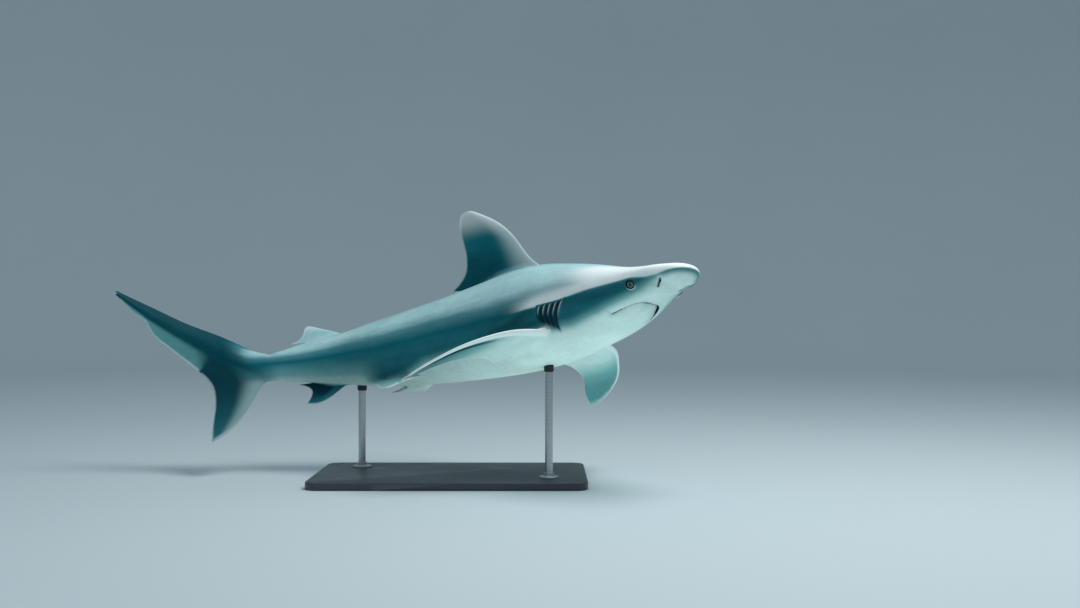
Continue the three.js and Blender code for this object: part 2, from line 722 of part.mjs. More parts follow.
const shades = { tail_stalk: COLOURS.back, trunk_rear: COLOURS.flank, trunk_front: COLOURS.flank };
Object.entries(lengths).forEach(([name, solid]) => add(name, solid, shades[name] ?? COLOURS.back));
add('lower_jaw', lowerJaw, COLOURS.belly);
Object.entries(sides).forEach(([word, side]) => add(`eye_${word}`, eyeBall(side, 0), COLOURS.eye, 0.1));

const [axisFrom, axisTo, axisCount] = CAUDAL_AXIS;
const upperLobe = solidFrom(bodyLength(axisFrom + TRIM, axisTo, axisCount)).add(solidFrom(upperWeb()));
add('caudal_upper_lobe', upperLobe, COLOURS.fin);
Object.entries(FINS).forEach(([name, fin]) => {
  const tone = name.startsWith('p') ? COLOURS.finPale : COLOURS.fin;
  let blade = solidFrom(finBlade(fin)).subtract(bodyClearance);
  if (name === 'caudal_lower_lobe') blade = clearOf(blade, upperLobe);
  add(name, mainPiece(blade), tone);
});

add('stand_base', basePlate(), COLOURS.base, 0.45, 0.1);
Object.entries(STAND.rodStations).forEach(([name, station]) => {
  add(name, rod(station), COLOURS.rod, 0.3, 1);
});

export default shark;
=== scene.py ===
"""The look of the shark display model.

One skin replaces all the flesh solids. It is built from the same named sizes as they are: a
body loft with its head details, and fin blades joined to it and faired in. Plan space is
the straight animal: s runs back from the snout tip, y to its left and z to its back, in per
cent of the total length. One bent, pitched and rolled body axis places it all, in metres.
Every point of the skin carries named marks, and the skin's material reads them.
"""

import math

import bpy
import numpy as np
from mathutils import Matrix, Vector


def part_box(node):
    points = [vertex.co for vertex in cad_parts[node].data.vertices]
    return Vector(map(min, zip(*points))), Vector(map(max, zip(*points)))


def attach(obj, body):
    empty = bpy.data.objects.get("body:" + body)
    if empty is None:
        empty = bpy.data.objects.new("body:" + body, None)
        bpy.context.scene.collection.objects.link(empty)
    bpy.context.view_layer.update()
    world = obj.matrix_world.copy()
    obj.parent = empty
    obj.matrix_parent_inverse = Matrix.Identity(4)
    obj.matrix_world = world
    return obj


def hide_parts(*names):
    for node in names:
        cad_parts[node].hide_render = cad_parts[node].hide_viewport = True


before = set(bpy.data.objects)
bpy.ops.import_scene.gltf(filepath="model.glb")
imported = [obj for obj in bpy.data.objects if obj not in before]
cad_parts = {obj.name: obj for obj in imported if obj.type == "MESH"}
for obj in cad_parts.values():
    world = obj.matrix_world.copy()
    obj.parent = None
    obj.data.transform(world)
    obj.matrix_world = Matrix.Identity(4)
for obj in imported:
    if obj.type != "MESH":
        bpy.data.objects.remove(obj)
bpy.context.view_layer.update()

# ---- driving dimensions

MM = 0.001
UNIT = 0.018  # one plan unit, a hundredth of the total length
EDGE_HALF = 0.5 * MM  # half thickness of every fin margin

# The pose: degrees of yaw, pitch, roll and bend, and the station and point the bend turns on.
POSE = {
    "yaw": 26.6,
    "pitch": 11.0,
    "roll": 13.2,
    "bend": 38.5,
    "bend_growth": 3.6,
    "pivot_station": 40,
    "pivot_point": (0.075, 0.008, 0.376),
}

# Body sections: station, top, bottom, half width, level of the widest line, and the
# squareness of the upper and lower half.
SECTIONS = (
    (0.0, 0.3, 0.3, 0.0, 0.3, 2.0, 2.0),  # snout tip
    (0.5, 0.94, -0.37, 2.0, 0.27, 2.2, 2.2),
    (1.5, 1.18, -0.8, 3.1, 0.3, 2.4, 2.3),
    (3.5, 1.4, -1.32, 4.1, 0.4, 2.5, 2.4),  # nostrils
    (7.0, 2.2, -2.09, 4.9, 0.45, 2.5, 2.5),  # eyes, front of the mouth
    (11.0, 3.52, -3.48, 5.8, 0.55, 2.4, 2.6),  # mouth corners
    (16.0, 5.37, -4.65, 6.5, 0.6, 2.3, 2.7),
    (22.0, 7.22, -5.36, 6.9, 0.7, 2.2, 2.8),  # last gill slit, pectoral origin
    (27.0, 8.4, -5.95, 7.05, 0.6, 2.15, 2.8),  # first dorsal origin
    (34.0, 8.52, -6.12, 6.95, 0.5, 2.1, 2.6),
    (42.0, 7.65, -5.76, 6.3, 0.4, 2.05, 2.4),
    (50.0, 6.58, -5.33, 5.2, 0.3, 2.0, 2.2),
    (58.0, 5.2, -4.55, 3.8, 0.2, 2.0, 2.1),
    (64.0, 3.8, -3.75, 2.8, 0.15, 2.0, 2.0),  # second dorsal and anal fins
    (70.0, 2.55, -3.05, 1.95, 0.05, 2.0, 2.0),
    (75.0, 1.7, -2.45, 1.45, 0.0, 2.0, 2.0),  # root of the tail fin
    (78.5, 3.05, -1.1, 1.0, 1.0, 1.5, 1.5),
    (82.0, 4.55, 0.9, 0.64, 2.7, 1.4, 1.4),
    (87.0, 6.65, 3.8, 0.38, 5.2, 1.3, 1.3),
    (92.0, 8.95, 7.1, 0.25, 8.0, 1.3, 1.3),
    (97.2, 11.75, 11.15, 0.12, 11.45, 1.3, 1.3),  # end of the axis in the upper lobe
)

# How fine the body's rings are: (station, spacing) pairs.
RING_SPACING = (
    (0.0, 0.02), (0.5, 0.1), (5.5, 0.1),  # snout
    (5.9, 0.07), (7.6, 0.07),  # eyes
    (8.2, 0.1), (12.6, 0.11), (14.0, 0.24), (17.4, 0.2),
    (18.2, 0.15), (23.6, 0.15),  # gills
    (25.5, 0.4), (32.0, 0.7), (70.0, 0.7), (75.0, 0.45), (97.2, 0.45),
)
COLUMNS = 88  # facets from the back to the belly on each side
SLIT_RINGS = (-3.0, -1.4, -0.5, -0.1, 0.5, 2.0, 3.6, 4.6, 5.6, 7.0)  # mm behind each gill slit

EYE = {
    "station": 6.75,
    "level": -0.75,
    "radius": 17.4 * MM,
    "inset": 15.2 * MM,  # from the eyeball's middle out to the skin
    "long": 1.06,  # how much longer than tall its opening is
}
# The mouth line: stations of its front and corners, and how sharply it curls back.
MOUTH = {"front": 7.95, "corner": 11.7, "half_width": 3.45, "curl": 3.6}
GILLS = {
    "count": 5,
    "top": ((18.3, -0.05), (23.0, 0.1)),  # first and last slit, station and level
    "bottom": ((20.2, -3.5), (23.1, -2.0)),
    "bow": 0.3,
    "depth": 8.0,  # mm
}
# Each nostril is an oblique slit: station, distance from the midline.
NOSTRIL = {"outer": (2.75, 2.9), "hole": (3.25, 2.58), "inner": (4.25, 1.95)}


# ---- curves


def spline(x, y):
    """Natural cubic spline through (x, y), as a function of an array."""
    x, y = np.array(x, float), np.array(y, float)
    gap = np.diff(x)
    count = len(x)
    system = np.eye(count)
    load = np.zeros(count)
    for i in range(1, count - 1):
        system[i, i - 1 : i + 2] = gap[i - 1], 2 * (gap[i - 1] + gap[i]), gap[i]
        load[i] = 6 * ((y[i + 1] - y[i]) / gap[i] - (y[i] - y[i - 1]) / gap[i - 1])
    second = np.linalg.solve(system, load)

    def at(t):
        t = np.asarray(t, float)
        i = np.clip(np.searchsorted(x, t) - 1, 0, count - 2)
        a, b = (x[i + 1] - t) / gap[i], (t - x[i]) / gap[i]
        bow = ((a**3 - a) * second[i] + (b**3 - b) * second[i + 1]) * gap[i] ** 2 / 6
        return a * y[i] + b * y[i + 1] + bow

    return at


def edge(points, count):
    """A smooth edge through a few points, cut into even steps."""
    points = np.array(points, float)
    along = np.concatenate([[0], np.cumsum(np.linalg.norm(np.diff(points, axis=0), axis=1))])
    stops = np.linspace(0, along[-1], count + 1)
    return np.stack([spline(along, column)(stops) for column in points.T], axis=1)


def mix(a, b, t):
    return a + (b - a) * t


def smooth(t):
    t = np.clip(t, 0, 1)
    return t * t * (3 - 2 * t)


def rise(x, start, width):
    """0 up to the start and 1 from a width past it."""
    return smooth((x - start) / width)


def fall(x, start, width):
    """1 up to the start and 0 from a width past it."""
    return 1 - smooth((x - start) / width)


def hump(t):
    return np.exp(-(t**2))


def turns(count):
    """Angles of evenly spaced points round a circle."""
    return np.linspace(0, 2 * np.pi, count, endpoint=False)


def level_circle(count):
    turn = turns(count)
    return np.stack([np.cos(turn), np.sin(turn), 0 * turn], axis=1)


def unit(vectors):
    return vectors / np.maximum(np.linalg.norm(vectors, axis=-1, keepdims=True), 1e-12)


# ---- body axis


def bend_rate(s):
    """How fast the axis turns to the left at a station, in radians per unit."""
    grown = POSE["bend"] + POSE["bend_growth"] * (s - 48) / 26
    return np.radians(grown) / 40 * rise(s, 6, 16) * (1 - 0.6 * rise(s, 76, 10))


def walk_axis():
    """Stops along the axis, each with its point and its directions ahead and to the side."""
    step, count = 0.25, 408
    yaw, pitch, roll = (math.radians(POSE[k]) for k in ("yaw", "pitch", "roll"))
    level_ahead = np.array([math.cos(yaw), -math.sin(yaw), 0])
    level_left = np.array([math.sin(yaw), math.cos(yaw), 0])
    forward = level_ahead * math.cos(pitch) + [0, 0, math.sin(pitch)]
    left = level_left * math.cos(roll) - np.cross(forward, level_left) * math.sin(roll)
    up = np.cross(forward, left)
    s = np.arange(count + 1) * step
    rate = bend_rate(s)
    turn = np.concatenate([[0], np.cumsum((rate[1:] + rate[:-1]) / 2 * step)])
    pivot = int(POSE["pivot_station"] / step)
    turn = (turn - turn[pivot])[:, None]
    ahead = forward * np.cos(turn) + left * np.sin(turn)
    side = left * np.cos(turn) - forward * np.sin(turn)
    moves = -(ahead[1:] + ahead[:-1]) / 2 * step * UNIT
    point = np.concatenate([np.zeros((1, 3)), np.cumsum(moves, axis=0)])
    point += np.array(POSE["pivot_point"]) - point[pivot]
    return s, point, ahead, side, up


AXIS_S, AXIS_POINT, AXIS_AHEAD, AXIS_SIDE, AXIS_UP = walk_axis()


def along_axis(table, s):
    return np.stack([np.interp(s, AXIS_S, table[:, k]) for k in range(3)], axis=-1)


def place(s, y, z):
    """Plan points to their places in space."""
    side = unit(along_axis(AXIS_SIDE, s))
    y, z = np.asarray(y, float)[..., None], np.asarray(z, float)[..., None]
    return along_axis(AXIS_POINT, s) + side * y * UNIT + AXIS_UP * z * UNIT


def unplace(points):
    """Places in space back to plan points, by the axis stop that each lies beside."""
    found = []
    for some in np.array_split(points, max(len(points) // 20000, 1)):
        lead = np.einsum("nk,mk->nm", some, AXIS_AHEAD) - (AXIS_POINT * AXIS_AHEAD).sum(1)
        i = np.clip((lead < 0).sum(1) - 1, 0, len(AXIS_S) - 2)
        rows = np.arange(len(some))
        a, b = lead[rows, i], lead[rows, i + 1]
        t = np.clip(-a / np.where(np.abs(b - a) < 1e-12, 1e-12, b - a), -2, 2)
        s = AXIS_S[i] + t * (AXIS_S[1] - AXIS_S[0])
        away = some - along_axis(AXIS_POINT, s)
        y = (away * unit(along_axis(AXIS_SIDE, s))).sum(1) / UNIT
        found.append(np.stack([s, y, away @ AXIS_UP / UNIT], axis=1))
    return np.concatenate(found)


# ---- body surface

ROOTS = [math.sqrt(row[0]) for row in SECTIONS]
MEASURES = [spline(ROOTS, [row[k] for row in SECTIONS]) for k in range(1, 7)]


def section(s):
    """Top, bottom, half width, widest level and the two squarenesses of the body at stations."""
    return [measure(np.sqrt(np.asarray(s, float))) for measure in MEASURES]


def flank(s, z):
    """Half width of the body below its widest line, at a station and level."""
    _, bottom, half, mid, _, square = section(s)
    fall = np.clip((mid - z) / (mid - bottom), 0, 1)
    return half * (1 - fall**square) ** (1 / square)


def underside(s, y):
    """Level of the body's underside at a station and distance from the midline."""
    _, bottom, half, mid, _, square = section(s)
    out = np.clip(np.abs(y) / half, 0, 1)
    return mid + (bottom - mid) * (1 - out**square) ** (1 / square)


def half_ring(s, shares):
    """Right half of one section, back to belly, at given shares of its length: y and z."""
    angle = np.linspace(0, np.pi, 1441)
    top, bottom, half, mid, square_up, square_down = section(s)
    c, d = np.cos(angle), np.sin(angle)
    power = 2 / np.where(c >= 0, square_up, square_down)
    y = -half * np.abs(d) ** power
    z = mid + np.where(c >= 0, top - mid, bottom - mid) * np.abs(c) ** power
    run = np.concatenate([[0], np.cumsum(np.hypot(np.diff(y), np.diff(z)))])
    y[-1] = 0
    stops = shares * run[-1]
    return np.interp(stops, run, y), np.interp(stops, run, z)


def ring_stations():
    """Stations of the body's rings, with closer rings at and behind each gill slit."""
    at, step = zip(*RING_SPACING)
    stops = [at[0]]
    while stops[-1] < at[-1]:
        stops.append(stops[-1] + float(np.interp(stops[-1], at, step)))
    stops = np.array(stops[1:-1] + [at[-1]])
    slits = np.linspace(*(point[0] for point in GILLS["top"]), GILLS["count"])
    close = (slits[:, None] + np.array(SLIT_RINGS) * MM / UNIT).ravel()
    clear = np.abs(stops[:, None] - close).min(axis=1) > 0.6 * MM / UNIT
    return np.sort(np.concatenate([stops[clear], close]))


def column_shares():
    """Shares of the half ring, closer together below the widest line."""
    share = np.linspace(0, 1, 2001)
    density = 0.42 + 0.58 * rise(share, 0.3, 0.12)
    total = np.concatenate([[0], np.cumsum((density[1:] + density[:-1]) / 2)])
    return np.interp(np.linspace(0, total[-1], COLUMNS + 1), total, share)


def mouth_station(y):
    """Where the mouth line lies at a distance from the midline."""
    return mix(MOUTH["front"], MOUTH["corner"], np.abs(y / MOUTH["half_width"]) ** MOUTH["curl"])


def gill_ends(t):
    """Station and level of a slit's lower and upper ends; t is 0 at the first, 1 at the last."""
    (low, low_last), (high, high_last) = GILLS["bottom"], GILLS["top"]
    return [mix(a, b, t) for a, b in zip(low + high, low_last + high_last)]


def gill_station(t, z):
    """Where the slit line at share t of the way from first to last crosses a level."""
    low_s, low_z, high_s, high_z = gill_ends(t)
    k = np.clip((z - low_z) / (high_z - low_z), -0.2, 1.2)
    return mix(low_s, high_s, k) + GILLS["bow"] * np.sin(np.pi * np.clip(k, 0, 1))


def behind_slits(t):
    """How far behind each slit points lie, in mm at the slits' upper ends."""
    first, last = (point[0] for point in GILLS["top"])
    pitch = (last - first) / (GILLS["count"] - 1) * UNIT / MM
    return [(t * (GILLS["count"] - 1) - i) * pitch for i in range(GILLS["count"])]


def gill_place(s, z):
    """How far a point lies from the first slit to the last, 0 to 1, and up along the slit."""
    first, last = (point[0] for point in GILLS["top"])
    t = (s - first) / (last - first)
    for _ in range(12):
        t = t + (s - gill_station(t, z)) / (last - first)
    _, low_z, _, high_z = gill_ends(t)
    return t, (z - low_z) / (high_z - low_z)


def gill_zone(s, z, outside=True):
    """Which points lie near the gills, and their gill_place."""
    near = (s > 16.5) & (s < 25.5) & outside
    return near, *gill_place(s[near], z[near])


def follow_gills(s, z):
    """Moves stations so that the rings of the body run along the gill slits."""
    first, last = (point[0] for point in GILLS["top"])
    t = np.clip((s - first) / (last - first), -0.7, 1.6)
    reach = rise(s, 15.3, 2.7) * fall(s, 23.4, 2.1)
    reach = reach * rise(z, -5.3, 0.9) * fall(z, 0.6, 1.2)
    return s + reach * (gill_station(t, z) - s)


def path_distance(points, path):
    """Distance from each point to a path, and how far along it the nearest place is."""
    best = np.full(len(points), np.inf)
    along = np.zeros(len(points))
    for k in range(len(path) - 1):
        run = path[k + 1] - path[k]
        t = np.clip((points - path[k]) @ run / (run @ run), 0, 1)
        gap = np.linalg.norm(points - path[k] - t[:, None] * run, axis=1)
        nearer = gap < best
        best = np.where(nearer, gap, best)
        along = np.where(nearer, (k + t) / (len(path) - 1), along)
    return best, along


def mouth_path(count=60):
    y = np.linspace(0, MOUTH["half_width"], count)
    s = mouth_station(y)
    return np.stack([s, y, underside(s, y)], axis=1)


def mouth_zone(s, y, z, near):
    """For the points near the mouth: distance from its line in mm, how far along the line
    from the middle to the corner, and which of them lie on the jaw."""
    s, y, z = s[near], y[near], z[near]
    gap, along = path_distance(np.stack([s, y, z], axis=-1), mouth_path())
    return gap * UNIT / MM, along, s > mouth_station(np.minimum(y, MOUTH["half_width"]))


def nostril_point(name):
    s, y = NOSTRIL[name]
    return np.array([s, y, underside(s, y)])


def ridge_level(s):
    """Level of the firm edge along the side of the head."""
    stations, levels = (0, 2.6, 4.2, 6.3, 8.5, 13, 20), (0.1, -0.4, -0.4, -0.08, -0.1, -0.02, 0.0)
    return np.interp(s, stations, levels)


def eye_frame():
    """The eye's point on the flank in plan space, and its outward, aft and upward axes."""
    s, z = np.array([[0, 0], [0.4, 0], [-0.4, 0], [0, 0.1], [0, -0.1]]).T
    s, z = s + EYE["station"], z + EYE["level"]
    centre, behind, ahead, above, below = np.stack([s, flank(s, z), z], axis=1)
    aft = unit(behind - ahead)
    out = unit(np.cross(above - below, aft))
    return centre, out, aft, unit(np.cross(aft, out))


# ---- relief of the skin
# Heights are in millimetres above the smooth loft. Points are plan points of the right
# side (y counted outward), so that both sides get the same relief.


def brow_relief(s, y, z):
    """A firm edge along the side of the head, with a shallow hollow under it."""
    reach = rise(s, 1.2, 2.5) * fall(s, 14, 5)
    above = z - ridge_level(s)
    brow = 5.0 * rise(above, -0.2, 0.3) * hump(np.maximum(above, 0) / 1.5)
    hollow = -2.6 * hump((above + 0.75) / 0.5)
    return reach * (brow + hollow) * rise(y, 1.5, 1.5)


def eye_place(s, y, z):
    """Distances aft of the eye's middle and above it, in mm."""
    centre, _, aft, up = eye_frame()
    away = np.stack([s, y, z], axis=-1) - centre
    return away @ aft * UNIT / MM, away @ up * UNIT / MM


def eye_relief(s, y, z):
    """A low mound round the eyeball, under the lids, with a fold below it."""
    a, b = eye_place(s, y, z)
    reach = np.hypot(a / EYE["long"], b)
    mound = 1.4 * hump((reach - 12.5) / 4.0)
    inside = -1.5 * fall(reach, 7.0, 2.0)
    fold = -1.0 * hump((reach - 18.0) / 2.2) * (1 - smooth(0.4 + b / 12))
    near = (reach < 30) & (y > 2)
    return np.where(near, mound + inside + fold, 0)


def nostril_relief(s, y, z):
    """A flap in front of each nostril's outer end and a swelling behind its inner end."""
    points = np.stack([s, y, z], axis=-1)
    outer, inner = nostril_point("outer"), nostril_point("inner")
    flap = np.linalg.norm(points - mix(outer, inner, 0.12) - [-0.28, 0, 0.05], axis=-1)
    swell = np.linalg.norm(points - mix(outer, inner, 0.72) - [0.45, 0, 0], axis=-1)
    return 2.6 * hump(flap / 0.36) + 2.2 * hump(swell / 0.6)


def mouth_relief(s, y, z):
    """The upper lip stands a little proud; the lower jaw sits back inside it."""
    near = (s > 5.5) & (s < 16) & (z < -0.8)
    gap, along, jaw = mouth_zone(s, y, z, near)
    height = np.zeros(s.shape)
    s, y = s[near], y[near]
    signed = np.where(jaw & (y < MOUTH["half_width"]), gap, -gap)
    lip = 1.6 * hump((signed + 5.0) / 5)
    recess = -5.2 * rise(signed, -2.0, 5) * hump(np.maximum(signed - 5, 0) / 22)
    lower_lip = 1.3 * hump((signed - 8.5) / 3.5)
    furrow = -0.9 * hump((s - 12.1) / 0.5) * hump((y - 3.75) / 0.2)
    height[near] = fall(along, 0.75, 0.25) * (lip + recess + lower_lip) + furrow
    return height


def gill_relief(s, y, z):
    """Each flap swells to a sharp rear edge, with a deep slit and a dip behind it."""
    near, t, k = gill_zone(s, z, y > 3)
    ends = rise(k, -0.08, 0.2) * smooth((1.08 - k) / 0.2)
    bulge = np.sqrt(np.sin(np.pi * np.clip(k, 0, 1)))
    total = np.zeros(t.shape)
    for behind in behind_slits(t):
        swell = 2.8 * rise(behind, -14, 13) * fall(behind, -0.1, 0.6)
        slit = rise(behind, -0.1, 0.6) * fall(behind, 3.6, 2.0)
        dip = rise(behind, -0.1, 0.6) * fall(behind, 5.6, 6)
        total += ends * (swell - 2.2 * dip) - (GILLS["depth"] - 2.2) * bulge * slit
    height = np.zeros(s.shape)
    height[near] = total
    return height


def trunk_relief(s, y, z):
    """Ridge between the dorsal fins, the pits before the tail fin, the lateral line, and
    the muscle that runs back and down from the gills."""
    top, bottom = section(s)[:2]
    middle = hump(y / 0.28)
    ridge = 2.2 * middle * rise(s, 43.5, 2) * fall(s, 60, 3) * (z > 0)
    upper_pit = -4.5 * hump((s - 73.8) / 0.55) * hump((z - top) / 0.9) * (s < 80)
    lower_pit = -2.2 * hump((s - 73.2) / 0.5) * hump((z - bottom) / 0.6) * (s < 80)
    vent = -2.0 * hump((s - 52.6) / 1.0) * hump(y / 0.22) * (z < 0)
    level = np.interp(s, (20, 40, 60, 75), (1.6, 1.5, 0.9, 0.1))
    reach = rise(s, 24, 4) * fall(s, 70, 6)
    line = -0.35 * hump((z - level) / 0.16) * reach * (y > 0.5)
    level = np.interp(s, (23, 33), (0.7, -1.7))
    reach = rise(s, 23.2, 2.5) * fall(s, 28, 7)
    muscle = reach * (3.4 * hump((z - level) / 0.55) - 2.6 * hump((z - level + 1.1) / 0.6))
    return ridge + upper_pit + lower_pit + vent + line + muscle * (y > 2)


RELIEFS = (brow_relief, eye_relief, nostril_relief, mouth_relief, gill_relief, trunk_relief)


# ---- markings


def body_shade(s, z):
    """0 is the pale belly, 0.7 the dark flank and 1 the back, which is lighter again. The
    flank's dark teal is painted shade and the back's lightness is painted light from above.

    The flank's lower border is firm in front, dips over the pelvic fins, and fades slowly
    into the belly behind them.
    """
    stations = (0, 3, 6, 9, 13, 18, 22, 30, 40, 47, 51, 58)
    levels = (-0.1, -0.6, -1.3, -2.0, -2.8, -3.4, -3.3, -3.0, -2.9, -3.2, -4.3, -4.6)
    width = np.interp(s, (0, 6, 20, 48, 56), (0.9, 1.5, 2.1, 2.0, 0.9))
    front = smooth((z - np.interp(s, stations, levels)) / width + 0.5)
    level = np.interp(s, (56, 66, 72, 76, 79), (-3.3, -2.5, -2.0, -2.8, -6))
    width = np.interp(s, (56, 66, 76), (5.4, 4.6, 3.6))
    rear = smooth((z - level) / width + 0.5)
    dark = mix(front, rear, rise(s, 55.0, 4.5))
    # painted light: the back grows lighter above the crest
    crest = np.interp(s, (0, 6, 20, 40, 60, 70), (0.3, 0.0, -1.0, -0.8, -0.8, -1.0))
    width = np.interp(s, (0, 6, 20, 45, 60, 70), (2.4, 3.0, 4.8, 5.2, 4.2, 2.7))
    return 0.7 * dark + 0.3 * rise(z, crest, width) * fall(s, 76, 6)


def crown_highlight_tone(s, above, z, inward):
    """A painted highlight: the paler crown and snout, down to the edge along the head and back
    over the gills.
    """
    edge_on = rise(above, -0.05, 0.35)
    on_top = smooth((z - 0.5 - 0.08 * s) / 1.0) * rise(s, 3, 5) * rise(inward, 0.2, 0.6)
    crown = edge_on * (1 - 0.75 * rise(s, 11, 9)) * fall(s, 22, 8) * (1 - 0.85 * on_top)
    shoulder = 0.9 * edge_on * fall(above, 0.6, 2.6) * rise(s, 9, 6) * fall(s, 22, 10)
    return np.maximum(crown, shoulder)


def body_tone(s, y, z):
    """Above 0 the skin is paler: the crown, a painted highlight. Below 0 it is darker: the
    middle of the back, painted shade under the edge of the head, the tail fin, and painted
    shade between the gill slits."""
    above = z - ridge_level(s)
    inward = 1 - y / section(s)[2]
    saddle = -0.45 * rise(inward, 0.05, 0.8) * smooth(s / 16) * smooth(z / 0.5) * fall(s, 60, 12)
    reach = rise(s, 1.5, 3) * fall(s, 18, 3)
    # painted shade under the edge of the head
    under = -0.3 * reach * smooth(-above / 0.2) * fall(-above, 0.5, 2.2)
    late = 0.8 * smooth((z - section(s)[3]) / 0.7)
    tail = -0.6 * smooth((s - 75.5 - 1.6 * late) / 4.0)
    # painted shade between the gill slits
    gills = np.zeros(s.shape)
    near, t, k = gill_zone(s, z)
    inside = rise(t, -0.12, 0.15) * fall(t, 1.02, 0.12)
    gills[near] = -0.85 * inside * rise(k, -0.25, 0.3) * smooth((1.05 - k) / 0.15)
    usual = crown_highlight_tone(s, above, z, inward) + saddle + under + tail
    return np.where(gills < 0, np.minimum(gills, under), usual)


def body_dark(s, y, z):
    """Shadowed skin round the slits of the gills, mouth and nostrils, 0 to 1. The mouth's
    shadow is wider on the right, where y is negative."""
    left, y = y > 0, np.abs(y)
    dark = np.zeros(s.shape)
    near = (s > 7) & (s < 13) & (z < -1)
    gap, along, jaw = mouth_zone(s, y, z, near)
    shadow = np.where(jaw, 0.5 * hump(gap / 13), 0)
    beyond = np.abs(np.where(jaw, gap, -gap) - 0.4)
    reach = np.where(left[near], mix(2.6, 1.6, along), mix(4.4, 2.2, along))
    dark[near] = np.maximum(0.95 * fall(beyond, reach, 2.0), shadow) * (1 - 0.4 * along)
    near, t, k = gill_zone(s, z, y > 3)
    ends = rise(k, -0.06, 0.1) * smooth((1.06 - k) / 0.1)
    for behind in behind_slits(t):
        slit = rise(behind, -0.1, 0.5) * fall(behind, 4.0, 4.0)
        dark[near] = np.maximum(dark[near], ends * slit)
    near = (s > 1.5) & (s < 6) & (z < 0)
    points = np.stack([s, y, z], axis=-1)[near]
    gap, _ = path_distance(points, np.array([nostril_point("outer"), nostril_point("inner")]))
    dark[near] = 0.9 * hump(np.maximum(gap * UNIT / MM - 1.0, 0) / 2.0)
    return dark


def body_pale(s, y, z):
    """Pale skin, 0 to 1: a painted highlight on the lower lid and on the edges of the gill
    flaps, and the pale nasal flap.
    """
    a, b = eye_place(s, y, z)
    lid = 0.5 * hump((np.hypot(a, b) - 12.0) / 2.0) * smooth(-b / 9) * (y > 2)
    away = np.stack([s, y, z], axis=-1) - nostril_point("outer")
    flap = np.linalg.norm(away - [-0.1, 0, 0], axis=-1)
    pale = np.maximum(lid, 0.8 * hump(flap / 0.4))
    near, t, k = gill_zone(s, z, y > 3)
    for behind in behind_slits(t):
        # painted highlight along the edge of each gill flap
        flap_edge = 0.55 * hump((behind + 2.4) / 2.2) * (behind < 0.05)
        flap_edge = flap_edge * rise(k, 0.35, 0.4) * smooth((1 - k) / 0.08)
        pale[near] = np.maximum(pale[near], flap_edge)
    return pale


# ---- mesh helpers

# shade: belly to back, with painted shade on the flank and painted light on the back. tone:
# paler above 0, darker below, partly painted highlight and shade. rim: how near a fin's
# margin. dark: painted shade in the slits and painted shadows round them. pale: painted
# highlights on lids, gill flaps and fin fronts, and the pale nasal flap. ray: place along a fin.
# known: 1 on every made point, so that points added by a join or cut can be told.
MARKS = ("shade", "tone", "rim", "dark", "pale", "ray", "known")


def volume_of(points, faces):
    """A measure of the volume inside triangles or quads, below 0 where they face inward."""
    total = 0
    for k in range(2, faces.shape[1]):
        a, b, c = (points[faces[:, corner]] for corner in (0, k - 1, k))
        total += np.einsum("nk,nk->", a, np.cross(b, c))
    return total


def mesh_points(mesh):
    points = np.zeros(len(mesh.vertices) * 3, np.float32)
    mesh.vertices.foreach_get("co", points)
    return points.reshape(-1, 3).astype(float)


def mark_values(mesh, name):
    values = np.zeros(len(mesh.vertices), np.float32)
    mesh.attributes[name].data.foreach_get("value", values)
    return values.astype(float)


def set_mark(mesh, name, values):
    layer = mesh.attributes.get(name) or mesh.attributes.new(name, "FLOAT", "POINT")
    layer.data.foreach_set("value", values.astype(np.float32))


def add_vectors(mesh, name, vectors):
    layer = mesh.attributes.new(name, "FLOAT_VECTOR", "POINT")
    layer.data.foreach_set("vector", vectors.astype(np.float32).ravel())


def add_object(name, data):
    thing = bpy.data.objects.new(name, data)
    bpy.context.scene.collection.objects.link(thing)
    return thing


def make_piece(name, points, groups, marks=None, charts=None):
    """A mesh object from groups of faces, each an array of triangles or of quads.

    marks gives a value at each point for each named mark, and charts the place of every
    face corner on the OFBake map. Faces are turned to point outward.
    """
    if sum(volume_of(points, faces) for faces in groups) < 0:
        groups = [faces[:, ::-1] for faces in groups]
        charts = charts and [chart[:, ::-1] for chart in charts]
    mesh = bpy.data.meshes.new(name)
    mesh.from_pydata(points.tolist(), [], [face for faces in groups for face in faces.tolist()])
    for mark in MARKS:
        usual = 1 if mark == "known" else 0
        set_mark(mesh, mark, np.broadcast_to((marks or {}).get(mark, usual), len(points)))
    if charts is not None:
        flat = np.concatenate([chart.reshape(-1, 2) for chart in charts])
        mesh.uv_layers.new(name="OFBake").data.foreach_set("uv", flat.ravel().astype(np.float32))
    mesh.shade_smooth()
    return add_object(name, mesh)


def finish_piece(piece, material, nodes):
    """Gives a piece its material and says which CAD nodes it replaces."""
    piece.data.materials.clear()
    piece.data.materials.append(material)
    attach(piece, "root")
    if nodes:
        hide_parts(*nodes)


def grid_corners(table):
    """The four corners of every cell of a grid."""
    corners = table[:-1, :-1], table[:-1, 1:], table[1:, 1:], table[1:, :-1]
    return np.stack([c.reshape(-1, *table.shape[2:]) for c in corners], axis=1)


def grid_faces(index):
    """Quads of a grid of point numbers."""
    return grid_corners(index)


def grid_charts(u, v):
    """The same quads' corners on the OFBake map, for grids of u and v."""
    return grid_corners(np.stack([u, v], axis=-1))


def ring_index(count, around):
    """Point numbers of a stack of rings, each closed on itself."""
    index = np.arange(count * around).reshape(count, around)
    return np.concatenate([index, index[:, :1]], axis=1)


def fan(tip, ring, flip=False):
    """Triangles from one point to each step of a ring."""
    return [[tip, b, a] if flip else [tip, a, b] for a, b in zip(ring[:-1], ring[1:])]


def loop_sweep(name, rings):
    """A closed solid through a stack of rings of points, with flat ends."""
    count, around = rings.shape[:2]
    index = ring_index(count, around)
    ends = fan(index[0, 0], index[0, 1:around], flip=True)
    ends += fan(index[-1, 0], index[-1, 1:around])
    return make_piece(name, rings.reshape(-1, 3), [grid_faces(index), np.array(ends)])


